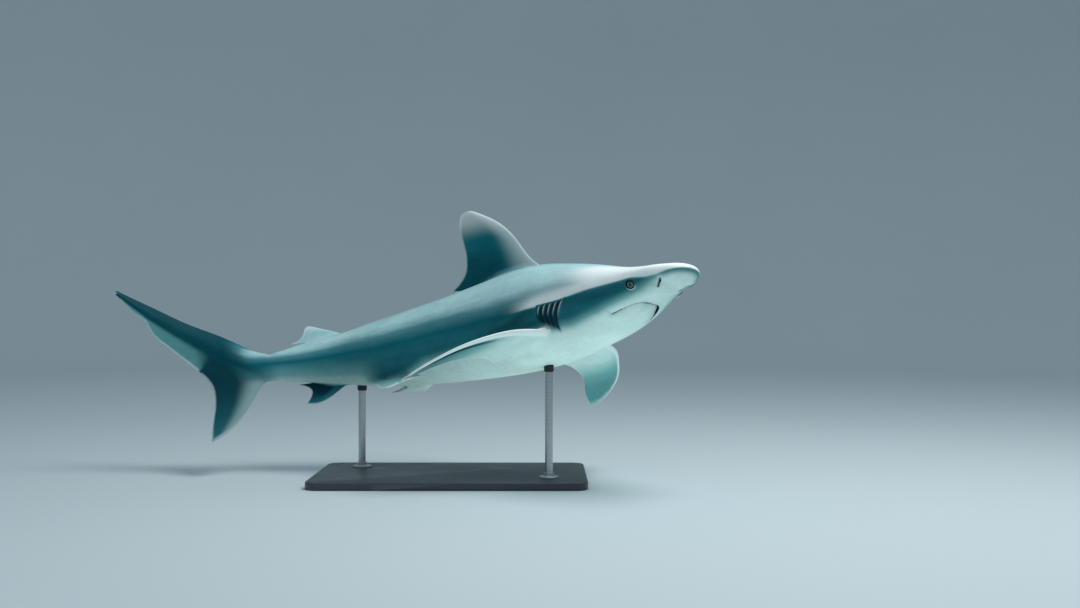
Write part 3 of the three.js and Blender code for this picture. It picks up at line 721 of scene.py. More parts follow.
def edge_ends(mesh):
    """Each edge both ways: the points it starts from and the points it leads to."""
    ends = np.zeros(len(mesh.edges) * 2, np.int32)
    mesh.edges.foreach_get("vertices", ends)
    ends = ends.reshape(-1, 2)
    return np.concatenate([ends[:, 0], ends[:, 1]]), np.concatenate([ends[:, 1], ends[:, 0]])


def combine(base, others, operation):
    """Joins or cuts a piece with others, and returns it with the finished mesh."""
    for other in others:
        step = base.modifiers.new(other.name, "BOOLEAN")
        step.operation = operation
        step.solver = "MANIFOLD"
        step.object = other
    bpy.context.view_layer.update()
    graph = bpy.context.evaluated_depsgraph_get()
    mesh = bpy.data.meshes.new_from_object(base.evaluated_get(graph))
    base.modifiers.clear()
    base.data = mesh
    for other in others:
        bpy.data.objects.remove(other)
    fill_marks(mesh)
    return base


def fill_marks(mesh):
    """Points that a join or cut has added without marks take the mean of their neighbours'."""
    known = mark_values(mesh, "known")
    sure = known > 0.05
    values = {}
    for name in MARKS:
        values[name] = np.where(sure, mark_values(mesh, name) / np.maximum(known, 0.05), 0)
    start, other = edge_ends(mesh)
    for _ in range(6):
        near = np.bincount(start, sure[other], len(known))
        fresh = ~sure & (near > 0)
        for name in MARKS:
            total = np.bincount(start, values[name][other] * sure[other], len(known))
            values[name] = np.where(fresh, total / np.maximum(near, 1), values[name])
        sure = sure | fresh
    for name in MARKS:
        set_mark(mesh, name, values[name])


# ---- body


def resample(table, stations, at):
    """Each column of a table of rings, read at other stations."""
    return np.stack([np.interp(a, stations, column) for a, column in zip(at.T, table.T)], axis=1)


def mirrored(right, sign=1):
    """A table of half rings, back to belly, with the left half added on."""
    return np.concatenate([right, sign * right[:, -2:0:-1]], axis=1)


def body_grid():
    """Plan points of the smooth loft: stations, then grids of s, y and z."""
    stations, shares = ring_stations(), column_shares()
    rings = [half_ring(s, shares) for s in stations]
    right_y, right_z = (np.array([ring[k] for ring in rings]) for k in range(2))
    straight = np.repeat(stations[:, None], COLUMNS + 1, axis=1)
    z = right_z
    for _ in range(3):
        s = follow_gills(straight, z)
        z = resample(right_z, stations, s)
    y = resample(right_y, stations, s)
    return stations, mirrored(s), mirrored(y, -1), mirrored(z)


def body_relief(s, y, z):
    """The grid's points, moved out or in along the loft's normals by all the reliefs."""
    plan = np.stack([s, y, z], axis=-1)
    down = np.roll(plan, -1, axis=1) - np.roll(plan, 1, axis=1)
    normal = unit(np.cross(np.gradient(plan, axis=0), down))
    middle = np.stack([s, 0 * y, section(s)[3]], axis=-1)
    normal *= np.sign((normal * (plan - middle)).sum(-1, keepdims=True))
    height = sum(relief(s, np.abs(y), z) for relief in RELIEFS) * MM / UNIT
    return plan + normal * height[..., None]


def body_charts(stations, around):
    """Places on the OFBake map of the body's quads, nose fan and end fan."""
    u = 0.01 + 0.98 * np.repeat((stations / stations[-1])[:, None] ** 0.8, around + 1, 1)
    v = 0.01 + 0.39 * np.repeat(np.linspace(0, 1, around + 1)[None], len(stations), 0)
    tip = np.stack([np.full(around, 0.005), v[0, :-1]], -1)
    first = np.stack([u[0], v[0]], -1)
    end = np.full((around - 2, 3, 2), (0.995, 0.2))
    return [grid_charts(u, v), np.stack([tip, first[1:], first[:-1]], axis=1), end]


def body_piece():
    """The body and head without lids, openings and fins."""
    stations, s, y, z = body_grid()
    tip = np.array([[0, 0, float(section(0)[3])]])
    plan = np.concatenate([body_relief(s, y, z).reshape(-1, 3), tip])
    index = ring_index(*s.shape)
    nose = fan(len(plan) - 1, index[0], flip=True)
    end = fan(index[-1, 0], index[-1, 1:-1])
    faces = [grid_faces(index), np.array(nose), np.array(end)]
    out = np.abs(y)
    grids = {
        "shade": body_shade(s, z),
        "tone": body_tone(s, out, z),
        "dark": body_dark(s, y, z),
        "pale": body_pale(s, out, z),
    }
    marks = {key: np.append(grid.ravel(), grid[0].mean()) for key, grid in grids.items()}
    return make_piece("shark_skin", place(*plan.T), faces, marks, body_charts(stations, s.shape[1]))


# ---- cuts in the body


def surface_frames(plan_points, side):
    """Outward normal and crosswise direction in space at plan points of one side."""
    s, y, z = plan_points.T
    path = place(s, side * y, z)
    along = unit(np.gradient(path, axis=0))
    centre = place(s, 0 * y, section(s)[3])
    outward = unit(path - centre)
    outward = unit(outward - along * (outward * along).sum(1, keepdims=True))
    return path, outward, unit(np.cross(outward, along))


def slot_cutter(name, plan_points, side, width, depth):
    """A thin slot along a path on the skin; width and depth are in metres at each point."""
    path, outward, across = surface_frames(plan_points, side)
    rows = []
    for height, spread in ((7 * MM, 1.0), (0.0, 1.0), (-0.6 * depth, 0.8), (-depth, 0.2)):
        middle = path + outward * (height * np.ones(len(path)))[:, None]
        rows.append((middle, width * spread / 2))
    left = [m - across * w[:, None] for m, w in rows]
    right = [m + across * w[:, None] for m, w in rows]
    return loop_sweep(name, np.stack(left + right[::-1], axis=1))


def mouth_cutter():
    """A dark gap along the mouth line, widest in front, from one corner to the other."""
    half = mouth_path(40)
    path = np.concatenate([half[:0:-1], half * [1, -1, 1]])
    share = np.abs(path[:, 1]) / MOUTH["half_width"]
    width = mix(3.6, 1.3, share**2.2) * MM
    depth = mix(13, 2.5, share**2) * MM
    return slot_cutter("mouth", path, 1, width, depth)


def nostril_cutter(side):
    """A narrow slot along the nostril, widest and deepest at its hole."""
    ends = np.array([nostril_point(name) for name in ("outer", "hole", "inner")])
    path = edge(ends, 14)
    path[:, 2] = underside(path[:, 0], path[:, 1])
    share = np.linspace(0, 1, len(path))
    width = (1.5 * np.sin(np.pi * mix(0.08, 0.92, share)) + 3.6 * hump((share - 0.32) / 0.2)) * MM
    depth = (3.0 + 5.0 * hump((share - 0.32) / 0.25)) * MM
    return slot_cutter(f"nostril_{side}", path, side, width, depth)


def ball(name, centre, radius, around, tall):
    """A closed ball of rings about the z axis."""
    tilts = np.linspace(-np.pi / 2, np.pi / 2, tall + 1)[1:-1]
    ring, pole = level_circle(around), np.array([0, 0, radius])
    rings = [ring * math.cos(a) * radius + [0, 0, math.sin(a) * radius] for a in tilts]
    points = np.concatenate([*rings, [-pole, pole]]) + centre
    index = ring_index(len(rings), around)
    south, north = len(points) - 2, len(points) - 1
    ends = fan(south, index[0], flip=True) + fan(north, index[-1])
    return make_piece(name, points, [grid_faces(index), np.array(ends)])


def eye_centre(side):
    """The eyeball's middle is the middle of its CAD solid's box."""
    low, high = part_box("eye_right" if side < 0 else "eye_left")
    return np.array((low + high) / 2)


def eye_axes(side):
    """The eye's outward, aft and upward directions in space."""
    point, *axes = eye_frame()
    start = place(*(point * [1, side, 1]))
    return [unit(place(*((point + 0.01 * axis) * [1, side, 1])) - start) for axis in axes]


def lid_circle(side, turn):
    """The eye's middle, its outward axis and the slightly oval directions round it."""
    out, aft, up = eye_axes(side)
    return eye_centre(side), out, aft * np.cos(turn) * EYE["long"] + up * np.sin(turn)


def lid_cutter(side):
    """A short round hole through the skin, in which the front of the eyeball shows."""
    centre, out, around = lid_circle(side, turns(96)[:, None])
    rings = []
    for height, radius in ((-9, 8.8), (0, 10.0), (9, 12.2)):
        rings.append(centre + out * (EYE["inset"] + height * MM) + around * radius * MM)
    return loop_sweep(f"lids_{side}", np.stack(rings))


def lid_roll(side):
    """A roll of skin round the eye, thicker below, that the eye's opening cuts at its crest."""
    around, facets = 96, 24
    turn = turns(around)[:, None, None]
    tube = turns(facets)[:, None]
    centre, out, away = lid_circle(side, turn)
    thick = (1.7 - 0.3 * np.sin(turn)) * MM
    middle = centre + out * (EYE["inset"] - 0.3 * MM) + away * 10.6 * MM
    points = middle + thick * (away * np.cos(tube) + out * np.sin(tube))
    index = np.arange(around * facets).reshape(around, facets)
    index = np.pad(index, ((0, 1), (0, 1)), mode="wrap")
    height = np.repeat(np.sin(turn).ravel(), facets)
    # Painted shade on the roll's upper half and on its inner side by the eye, a painted highlight on
    # its lower half.
    marks = {
        "shade": mix(0.45, 0.7, smooth(height + 0.5)),
        "tone": -0.6 * smooth(height),
        "pale": 0.6 * smooth(-height - 0.1),
        "dark": smooth((0.6 * MM - thick * np.cos(tube)) / (0.6 * MM)).ravel(),
    }
    return make_piece(f"lid_roll_{side}", points.reshape(-1, 3), [grid_faces(index)], marks)


def add_lids(body):
    """Joins the lid rolls to the head and fairs them in."""
    crease = join_parts(body, [lid_roll(side) for side in (-1, 1)])
    fair_junctions(body.data, crease, np.full(len(body.data.vertices), 3.2 * MM), rounds=14)
    return body


def cut_openings(body):
    """Cuts the mouth, eye and nostril openings, with painted shade inside."""
    sides = (-1, 1)
    cutters = [mouth_cutter(), *map(lid_cutter, sides), *map(nostril_cutter, sides)]
    for cutter in cutters:
        set_mark(cutter.data, "dark", np.ones(len(cutter.data.vertices)))
    return combine(body, cutters, "DIFFERENCE")


# ---- fins


def airfoil(x):
    """Half thickness of a plain symmetric airfoil along its chord, as shares of it."""
    c = np.clip(x, 0, 1)
    bulge = 0.2969 * np.sqrt(c) - 0.126 * c - 0.3516 * c**2 + 0.2843 * c**3 - 0.1036 * c**4
    return 10 * bulge


def crossing(outline, span):
    """Where an outline crosses each span level, as a chordwise position."""
    ends = np.abs(outline[0, 1] - span) < np.abs(outline[-1, 1] - span)
    chord = np.where(ends, outline[0, 0], outline[-1, 0])
    found = np.zeros(span.shape, bool)
    for a, b in zip(outline[:-1], outline[1:]):
        if a[1] == b[1]:
            continue
        here = ((a[1] - span) * (b[1] - span) <= 0) & ~found
        chord = np.where(here, mix(a[0], b[0], (span - a[1]) / (b[1] - a[1])), chord)
        found |= here
    return chord


def middle_fin(sign):
    """How a fin on the midline is carried: upward (1) or downward (-1)."""

    def carry(chord, span, off):
        return place(chord, off / UNIT, sign * span)

    return carry


def paired_fin(side, station, out, level, droop, pitch, arch, twist, reach):
    """How a fin on one side is carried: drooping outward, pitched, arched and twisted."""
    ahead, across = unit(along_axis(AXIS_AHEAD, station)), unit(along_axis(AXIS_SIDE, station))
    origin = along_axis(AXIS_POINT, station) + across * side * out * UNIT
    origin = origin + AXIS_UP * level * UNIT
    c, d = math.cos(math.radians(droop)), math.sin(math.radians(droop))
    outward, normal = across * side * c - AXIS_UP * d, AXIS_UP * c + across * side * d

    def carry(chord, span, off):
        t = span / reach
        tilt = np.radians(pitch + twist * t)[..., None]
        back = -ahead * np.cos(tilt) - normal * np.sin(tilt)
        lift = arch * 4 * np.maximum(t, 0) * (1 - t) * UNIT + off
        run = back * chord[..., None] * UNIT
        return origin + run + outward * span[..., None] * UNIT + normal * lift[..., None]

    return carry


# Fin outlines, in plan units: the front edge, the rear edge and the inner edge back to the
# body, then the base line inside the body. columns are the steps along the three edges.

FIRST_DORSAL = {
    "lead": (
        (27.2, 8.0), (29.3, 9.65), (30.6, 11.1), (32.4, 13.9),
        (35.6, 17.55), (39, 19.85), (41.1, 20.6), (42.2, 20.2),
    ),
    "trail": (
        (42.2, 20.2), (42.5, 18.9), (42.0, 15.6), (41.6, 12.9),
        (41.85, 10.9), (42.8, 9.45), (44.2, 8.3),
    ),
    "inner": ((44.2, 8.3), (42.3, 8.0), (40.3, 7.75)),
    "base": ((28.4, 7.9), (39.4, 7.7)),
    "thick": 11 * MM,
    "columns": (52, 30, 8),
    "rows": 24,
}
SECOND_DORSAL = {
    "lead": ((61.8, 3.9), (62.9, 4.2), (64.5, 4.75), (66.8, 5.45), (68.1, 5.6), (68.5, 5.25)),
    "trail": ((68.5, 5.25), (68.65, 4.6), (69.1, 3.8), (70.8, 2.95)),
    "inner": ((70.8, 2.95), (68.6, 3.05), (66.4, 3.2)),
    "base": ((62.7, 3.7), (66.0, 3.12)),
    "thick": 4.2 * MM,
    "columns": (26, 14, 8),
    "rows": 14,
}
ANAL = {
    "lead": ((61.4, 3.8), (62.3, 4.25), (63.6, 5.15), (65.2, 6.15), (66.9, 6.65), (68.2, 6.55)),
    "trail": ((68.2, 6.55), (67.55, 5.5), (67.45, 4.6), (68.1, 3.95), (69.5, 3.55)),
    "inner": ((69.5, 3.55), (68.2, 3.45), (66.7, 3.35)),
    "base": ((62.5, 3.75), (66.4, 3.3)),
    "thick": 4.2 * MM,
    "columns": (26, 18, 8),
    "rows": 14,
}
CAUDAL_LOWER = {
    "lead": ((73.7, 2.1), (74.5, 3.0), (75.6, 4.66), (77.8, 8.2), (80.3, 10.75), (82.35, 11.95)),
    "trail": (
        (82.35, 11.95), (82.35, 9.9), (82.05, 7.5), (82.0, 5.6),
        (82.5, 3.3), (83.4, 2.05), (84.55, 1.0),
    ),
    "inner": ((84.55, 1.0), (83.6, -0.3), (81.2, -1.6)),  # runs on up under the upper lobe
    "base": ((75.2, 1.0), (79.2, -0.6)),
    "thick": 8 * MM,
    "columns": (44, 28, 8),
    "rows": 20,
}
PECTORAL = {
    "lead": (
        (-1.0, -1.7), (0.55, 0.9), (1.9, 3.75), (4.25, 6.95),
        (7.1, 10.1), (11.1, 12.6), (14.3, 13.65), (16.3, 13.85),
    ),
    "trail": (
        (16.3, 13.85), (15.85, 12.6), (12.35, 7.9), (10.95, 4.6),
        (10.55, 2.4), (10.75, 0.9), (11.5, -0.45),
    ),
    "inner": ((11.5, -0.45), (9.0, -1.05), (6.4, -2.0)),
    "base": ((0.5, -1.6), (5.8, -1.95)),
    "thick": 10 * MM,
    "columns": (56, 34, 10),
    "rows": 22,
}
PECTORAL_ROOT = {"station": 22.3, "out": 6.68, "level": -3.44, "arch": 0.9, "reach": 13.9}
PELVIC = {
    "lead": ((-0.9, -1.3), (0, 0), (1.3, 1.7), (2.7, 3.0), (3.9, 3.6), (4.7, 3.5)),
    "trail": ((4.7, 3.5), (5.3, 2.7), (6.1, 1.8), (7.5, 0.75)),
    "inner": ((7.5, 0.75), (6.0, 0.1), (4.5, -0.9)),
    "base": ((0.7, -1.2), (3.9, -1.1)),
    "thick": 5.5 * MM,
    "columns": (24, 16, 8),
    "rows": 14,
}
PELVIC_ROOT = {
    "station": 49.3, "out": 2.9, "level": -4.8, "arch": 0.2, "twist": 0, "reach": 3.6,
}

# Each fin's shape, how it is carried, and its marks. shades: above, and below at the root and
# at the tip. tones: how pale its tip is, how dark its inner part is and how far out that
# reaches. front: a painted highlight band along its front edge: how pale it is, where it
# starts to fade and over what width, as shares of the chord.
FINS = {
    "first_dorsal_fin": {
        **FIRST_DORSAL,
        "carry": middle_fin(1),
        "shades": (0.72, 0.72, 0.72),
        "tones": (0.55, 0.55, 0.95),
        "front": (0.45, 0.02, 0.38),
    },
    "second_dorsal_fin": {
        **SECOND_DORSAL,
        "carry": middle_fin(1),
        "shades": (1, 1, 1),
        "tones": (0.6, 0, 1),
        "front": (0, 0, 1),
    },
    "anal_fin": {
        **ANAL,
        "carry": middle_fin(-1),
        "shades": (0.7, 0.7, 0.7),
        "tones": (0.1, 1, 1.6),
        "front": (0, 0, 1),
    },
    "caudal_lower_lobe": {
        **CAUDAL_LOWER,
        "carry": middle_fin(-1),
        "shades": (0.68, 0.68, 0.68),
        "tones": (0.0, 0.8, 1.6),
        "front": (0.3, 0.1, 0.45),
    },
    "pectoral_fin_right": {
        **PECTORAL,
        "carry": paired_fin(-1, **PECTORAL_ROOT, droop=8, pitch=11.4, twist=2.4),
        "shades": (0.9, 0.1, 0.72),
        "tones": (0.15, 0, 1),
        "front": (1.0, 0.075, 0.045),
    },
    "pectoral_fin_left": {
        **PECTORAL,
        "carry": paired_fin(1, **PECTORAL_ROOT, droop=10.1, pitch=2.7, twist=5.6),
        "shades": (0.9, 0.12, 0.52),
        "tones": (0.0, 0, 1),
        "front": (0.8, 0.03, 0.04),
    },
    "pelvic_fin_right": {
        **PELVIC,
        "carry": paired_fin(-1, **PELVIC_ROOT, droop=32, pitch=1),
        "shades": (0.45, 0, 0.1),
        "tones": (0.3, 0, 1),
        "front": (0.3, 0.05, 0.1),
    },
    "pelvic_fin_left": {
        **PELVIC,
        "carry": paired_fin(1, **PELVIC_ROOT, droop=0, pitch=3),
        "shades": (0.45, 0, 0.1),
        "tones": (0.3, 0, 1),
        "front": (0.3, 0.05, 0.1),
    },
}
UPPER_WEB = {
    "dorsal": (
        (75.3, 1.3), (76.0, 2.15), (77.6, 3.2), (79.5, 4.15), (85.6, 6.5), (92.4, 9.6),
        (97.4, 11.95),
    ),
    "divide": ((79.0, -0.6), (81.6, -1.7), (84.55, -0.98)),  # runs on down under the lower lobe
    "web": ((84.55, -0.98), (86.2, 0.45), (89.6, 3.25), (91.3, 4.9), (92.3, 6.9)),
    "end_lobe": ((92.3, 6.9), (93.2, 7.45), (95.6, 9.7), (97.1, 11.5)),
    "columns": (14, 40, 22),
    "rows": 24,
    "thick": (6.5 * MM, 1.5 * MM),
}

CHART_CELLS = (6, 3)  # fin sheets on the OFBake map, across and up


def chart_cell(number, chord, span):
    """Places one fin sheet in its own cell of the OFBake map, at true proportions."""
    across, up = CHART_CELLS
    cell = np.array([0.98 / across, 0.56 / up])
    corner = np.array([0.01, 0.43]) + cell * [number % across, number // across]
    lowest = np.array([chord.min(), span.min()])
    size = max((chord.max() - lowest[0]) / cell[0], (span.max() - lowest[1]) / cell[1])
    u = corner[0] + 0.94 * (chord - lowest[0]) / size
    v = corner[1] + 0.94 * (span - lowest[1]) / size
    return u, v


def sheets_piece(name, chord, span, half, carry, marks, number):
    """A thin blade from one grid of places and half thicknesses, closed all round. A mark is
    one grid for both faces, or a pair of them: above and below."""
    points = np.concatenate([carry(chord, span, sign * half).reshape(-1, 3) for sign in (1, -1)])
    near = np.arange(chord.size).reshape(chord.shape)
    border = np.concatenate([near[:, 0], near[-1, 1:], near[-2::-1, -1], near[0, -2:0:-1]])
    loop = np.stack([border, np.roll(border, -1)], axis=1)
    band = np.concatenate([loop, loop[:, ::-1] + chord.size], axis=1)
    faces = [grid_faces(near), grid_faces(near + chord.size)[:, ::-1], band]
    upper, lower = (chart_cell(2 * number + k, chord, span) for k in range(2))
    rim_chart = np.stack([upper[0].ravel(), upper[1].ravel()], axis=1)[band % chord.size]
    charts = [grid_charts(*upper), grid_charts(*lower)[:, ::-1], rim_chart]
    values = {}
    for key, mark in marks.items():
        pair = mark if isinstance(mark, tuple) else (mark, mark)
        values[key] = np.concatenate([np.broadcast_to(grid, chord.shape).ravel() for grid in pair])
    return make_piece(name, points, faces, values, charts)


def fin_grid(fin):
    """One fin's chordwise and spanwise places, half thickness and share of the chord. Rays
    run from its base line, inside the body, out to the free margin."""
    lead, trail, inner = (edge(fin[k], n) for k, n in zip(("lead", "trail", "inner"), fin["columns"]))
    margin = np.concatenate([lead, trail[1:], inner[1:]])
    ray = np.linspace(0, 1, len(margin))[:, None]
    out = 1 - (1 - np.linspace(0, 1, fin["rows"] + 1)[None]) ** 1.7
    start, end = np.array(fin["base"], float)
    base = mix(start, end, ray)
    chord, span = (mix(base[:, k : k + 1], margin[:, k : k + 1], out) for k in (0, 1))

    reach = lead[:, 1].max()
    inside = np.clip(span, trail[-1, 1], reach * 0.995)
    front, back = crossing(lead, inside), crossing(trail, inside)
    taper = mix(1, 0.25, np.maximum(span, 0) / reach)
    on_chord = (chord - front) / np.maximum(back - front, 0.3)
    half = EDGE_HALF + fin["thick"] * taper * airfoil(on_chord)
    half[:, -1] = EDGE_HALF
    height = (span - start[1]) / (reach - start[1])
    return chord, span, half, on_chord, height, ray, out


def fin_piece(name, number):
    """One fin, with its marks."""
    fin = FINS[name]
    chord, span, half, on_chord, height, ray, out = fin_grid(fin)
    above, below_root, below_tip = fin["shades"]
    pale_tip, deep, deep_reach = fin["tones"]
    strength, start, width = fin["front"]
    under = mix(below_root, below_tip, rise(height, 0.25, 0.6))
    inner_part = rise(on_chord, 0.1, 0.4) * (1 - smooth((height - 0.15) / 0.8 / deep_reach))
    tone = pale_tip * rise(height, 0.3, 0.7) - deep * inner_part
    shadow_strip = 0 * chord
    if name == "pectoral_fin_right":  # a painted shadow line behind the painted highlight along the front edge
        shadow_strip = hump((on_chord - 0.2) / 0.07) * rise(height, 0.3, 0.3)
    hidden = fin["columns"][2] + 1 if name == "caudal_lower_lobe" else 0
    marks = {
        "shade": (np.full(chord.shape, float(above)), under),
        "tone": tone - 0.9 * shadow_strip,
        "rim": out * (np.arange(len(ray))[:, None] < len(ray) - hidden),
        "ray": ray * 40,
        "dark": 0.7 * shadow_strip * rise(height, 0.5, 0.2),
        # painted highlight band along the front edge
        "pale": strength * fall(on_chord, start, width) * rise(height, -0.05, 0.1),
    }
    return sheets_piece(name, chord, span, half, fin["carry"], marks, number)


def upper_web_piece(number):
    """The web of the upper tail lobe, from its dorsal edge down to its free edge."""
    counts = UPPER_WEB["columns"]
    above = edge(UPPER_WEB["dorsal"], sum(counts))
    parts = [edge(UPPER_WEB[key], n) for key, n in zip(("divide", "web", "end_lobe"), counts)]
    below = np.concatenate([parts[0], parts[1][1:], parts[2][1:]])
    down = np.linspace(0, 1, UPPER_WEB["rows"] + 1)[None]
    s, z = (mix(above[:, k : k + 1], below[:, k : k + 1], down) for k in (0, 1))
    share = np.linspace(0, 1, len(above))[:, None]
    fat = mix(*UPPER_WEB["thick"], share) * (1 - down) * np.sqrt(np.minimum(1, 4 * down))
    paler = rise(down, 0.2, 0.6) * rise(s, 83, 3)
    marks = {
        "shade": mix(0.7, 0.52, rise(down, 0.2, 0.5)),
        "tone": -0.6 * (1 - paler) * rise(s, 78, 4),
        "rim": down * (np.arange(len(above))[:, None] >= counts[0]),
        "ray": share * 40,
    }
    return sheets_piece("upper_web", s, z, EDGE_HALF + fat, middle_fin(1), marks, number)


# ---- joining up


def fair_junctions(mesh, crease, radius, rounds=60):
    """Fairs the skin round the joins: points are drawn to the mean of their neighbours,
    fully at the crease and less and less out to the radius, and thin fin edges stay put."""
    points = mesh_points(mesh)
    nearest = np.full(len(points), np.inf)
    for some in np.array_split(points[crease], max(len(crease) // 40, 1)):
        low, high = some.min(0) - radius.max(), some.max(0) + radius.max()
        box = np.where(((points > low) & (points < high)).all(1))[0]
        gap = np.linalg.norm(points[box, None] - some[None], axis=2).min(1)
        nearest[box] = np.minimum(nearest[box], gap)
    weight = smooth(1 - nearest / radius)
    weight *= fall(mark_values(mesh, "rim"), 0.72, 0.2)
    weight *= 1 - 0.9 * rise(mark_values(mesh, "dark"), 0.3, 0.4)
    start, other = edge_ends(mesh)
    moving = (weight[start] > 0) | (weight[other] > 0)
    start, other = start[moving], other[moving]
    degree = np.maximum(np.bincount(start, minlength=len(points)), 1)

    def drawn(values):
        mean = np.bincount(start, values[other], len(points)) / degree
        return values + weight * 0.6 * (mean - values)

    for _ in range(rounds):
        for k in range(3):
            points[:, k] = drawn(points[:, k])
    for name in ("shade", "tone", "rim", "dark", "pale"):
        values = mark_values(mesh, name)
        for _ in range(rounds // 3):
            values = drawn(values)
        set_mark(mesh, name, values)
    mesh.vertices.foreach_set("co", points.astype(np.float32).ravel())
    mesh.update()


def tag_faces(piece, number):
    layer = piece.data.attributes.new("part", "INT", "FACE")
    layer.data.foreach_set("value", np.full(len(piece.data.polygons), number, np.int32))


def crease_points(mesh):
    """Points that faces of different parts share."""
    part, totals = np.zeros((2, len(mesh.polygons)), np.int32)
    mesh.attributes["part"].data.foreach_get("value", part)
    mesh.polygons.foreach_get("loop_total", totals)
    corners = np.zeros(len(mesh.loops), np.int32)
    mesh.loops.foreach_get("vertex_index", corners)
    owner = np.repeat(part, totals)
    low = np.full(len(mesh.vertices), part.max())
    high = np.full(len(mesh.vertices), part.min())
    np.minimum.at(low, corners, owner)
    np.maximum.at(high, corners, owner)
    return np.where(high > low)[0]


def join_parts(body, others):
    """Joins other pieces to the body, and returns the points along the joins."""
    for number, piece in enumerate([body, *others]):
        tag_faces(piece, number)
    combine(body, others, "UNION")
    crease = crease_points(body.data)
    body.data.attributes.remove(body.data.attributes["part"])
    return crease


# How far the skin is faired round a fin's root: (station, mm) pairs.
FAIRING = ((18, 26), (48, 26), (50, 12), (60, 9), (72, 12), (77, 28), (98, 14))
FLESH = (
    "head", "gill_region", "trunk_front", "trunk_middle", "trunk_rear", "tail_stalk",
    "lower_jaw", "caudal_upper_lobe", "caudal_lower_lobe", "first_dorsal_fin",
    "second_dorsal_fin", "anal_fin", "pectoral_fin_right", "pectoral_fin_left",
    "pelvic_fin_right", "pelvic_fin_left",
)


def shark_skin():
    """The body with its openings and fins, joined and faired into one skin."""
    skin = cut_openings(add_lids(body_piece()))
    fins = [fin_piece(name, k) for k, name in enumerate(FINS)] + [upper_web_piece(len(FINS))]
    crease = join_parts(skin, fins)
    mesh = skin.data
    stations = unplace(mesh_points(mesh))[:, 0]
    fairing = np.interp(stations, *zip(*FAIRING)) * MM
    fair_junctions(mesh, crease, fairing)
    add_vectors(mesh, "plan", unplace(mesh_points(mesh)))
    mesh.set_sharp_from_angle(angle=math.radians(55))
    finish_piece(skin, skin_material(), FLESH)
    return skin


# ---- materials


def colour(red, green, blue):
    """A colour picked in sRGB, 0 to 255, as Blender's linear values."""
    linear = [
        c / 3294.6 if c <= 10.31 else ((c / 255 + 0.055) / 1.055) ** 2.4 for c in (red, green, blue)
    ]
    return (*linear, 1)


class Tree:
    """Short ways to add nodes to a material."""

    def __init__(self, name):
        self.material = bpy.data.materials.new(name)
        self.material.use_nodes = True
        self.nodes = self.material.node_tree.nodes
        self.links = self.material.node_tree.links
        self.shader = self.nodes["Principled BSDF"]

    def add(self, kind, inputs=(), **settings):
        node = self.nodes.new(kind)
        for key, value in settings.items():
            setattr(node, key, value)
        for key, value in dict(inputs).items():
            self.put(node.inputs[key], value)
        return node

    def put(self, socket, value):
        if isinstance(value, bpy.types.NodeSocket):
            self.links.new(value, socket)
        else:
            socket.default_value = value

    def surface(self, inputs):
        """Sets or links inputs of the material's shader by their names."""
        for key, value in inputs.items():
            self.put(self.shader.inputs[key], value)

    def math(self, operation, a, b=0.0):
        return self.add("ShaderNodeMath", {0: a, 1: b}, operation=operation).outputs[0]

    def plus(self, a, b):
        return self.math("ADD", a, b)

    def times(self, a, b):
        return self.math("MULTIPLY", a, b)

    def reach(self, a, b):
        """Distance from the middle, from two places across it."""
        return self.math("SQRT", self.plus(self.math("POWER", a, 2), self.math("POWER", b, 2)))

    def value(self, name):
        return self.add("ShaderNodeAttribute", attribute_name=name).outputs["Fac"]

    def vector(self, name):
        return self.add("ShaderNodeAttribute", attribute_name=name).outputs["Vector"]

    def step(self, value, low, high, start=0.0, end=1.0):
        inputs = {"Value": value, "From Min": low, "From Max": high, "To Min": start, "To Max": end}
        node = self.add("ShaderNodeMapRange", inputs, interpolation_type="SMOOTHSTEP")
        return node.outputs["Result"]

    def blend(self, share, a, b, how="MIX"):
        node = self.add("ShaderNodeMix", data_type="RGBA", blend_type=how)
        self.put(node.inputs["Factor"], share)
        for socket, value in zip([i for i in node.inputs if i.type == "RGBA"], (a, b)):
            self.put(socket, value)
        return next(o for o in node.outputs if o.type == "RGBA")

    def noise(self, vector, scale, detail=3.0, roughness=0.5):
        inputs = {"Vector": vector, "Scale": scale, "Detail": detail, "Roughness": roughness}
        return self.add("ShaderNodeTexNoise", inputs).outputs["Fac"]

    def stretch(self, vector, scale):
        return self.add("ShaderNodeMapping", {"Vector": vector, "Scale": scale}).outputs[0]

    def ramp(self, value, stops):
        node = self.add("ShaderNodeValToRGB", {"Fac": value})
        elements = node.color_ramp.elements
        elements.remove(elements[-1])
        for k, (position, tone) in enumerate(stops):
            element = elements.new(position) if k else elements[0]
            element.position, element.color = position, tone
        return node.outputs["Color"]

    def fin_place(self):
        """Place along a fin's rays: across them and out towards the margin."""
        marks = {0: self.value("ray"), 1: self.times(self.value("rim"), 10)}
        return self.add("ShaderNodeCombineXYZ", marks).outputs[0]

    def own_place(self):
        return self.add("ShaderNodeTexCoord").outputs["Object"]

    def bump(self, height, distance, strength=1.0, normal=None):
        inputs = {"Height": height, "Distance": distance, "Strength": strength}
        if normal is not None:
            inputs["Normal"] = normal
        return self.add("ShaderNodeBump", inputs).outputs["Normal"]


# The skin's colours from the pale belly, by the shade mark, up to the back. The dark teal
# flank is painted shade and the light back is painted light from above.
SKIN_STOPS = (
    (0.05, colour(208, 231, 226)),
    (0.35, colour(112, 166, 166)),
    (0.73, colour(4, 98, 110)),
    (0.88, colour(80, 136, 144)),
    (1.0, colour(172, 209, 213)),
)
# What the tone mark, the rim of a fin, the pale mark and the dark mark turn it into. The
# paler tone is partly a painted highlight, the darker tone partly painted shade, the rim's
# colour a painted highlight, the pale colour painted highlights and the pale nasal flap, and
# the dark colour painted shade in and round the slits.
PALER = colour(238, 244, 243)
DARKER = colour(0, 48, 60)
RIM_HIGHLIGHT = colour(222, 234, 232)
PALE_AND_HIGHLIGHT = colour(226, 236, 233)
SHADOW = colour(8, 26, 30)


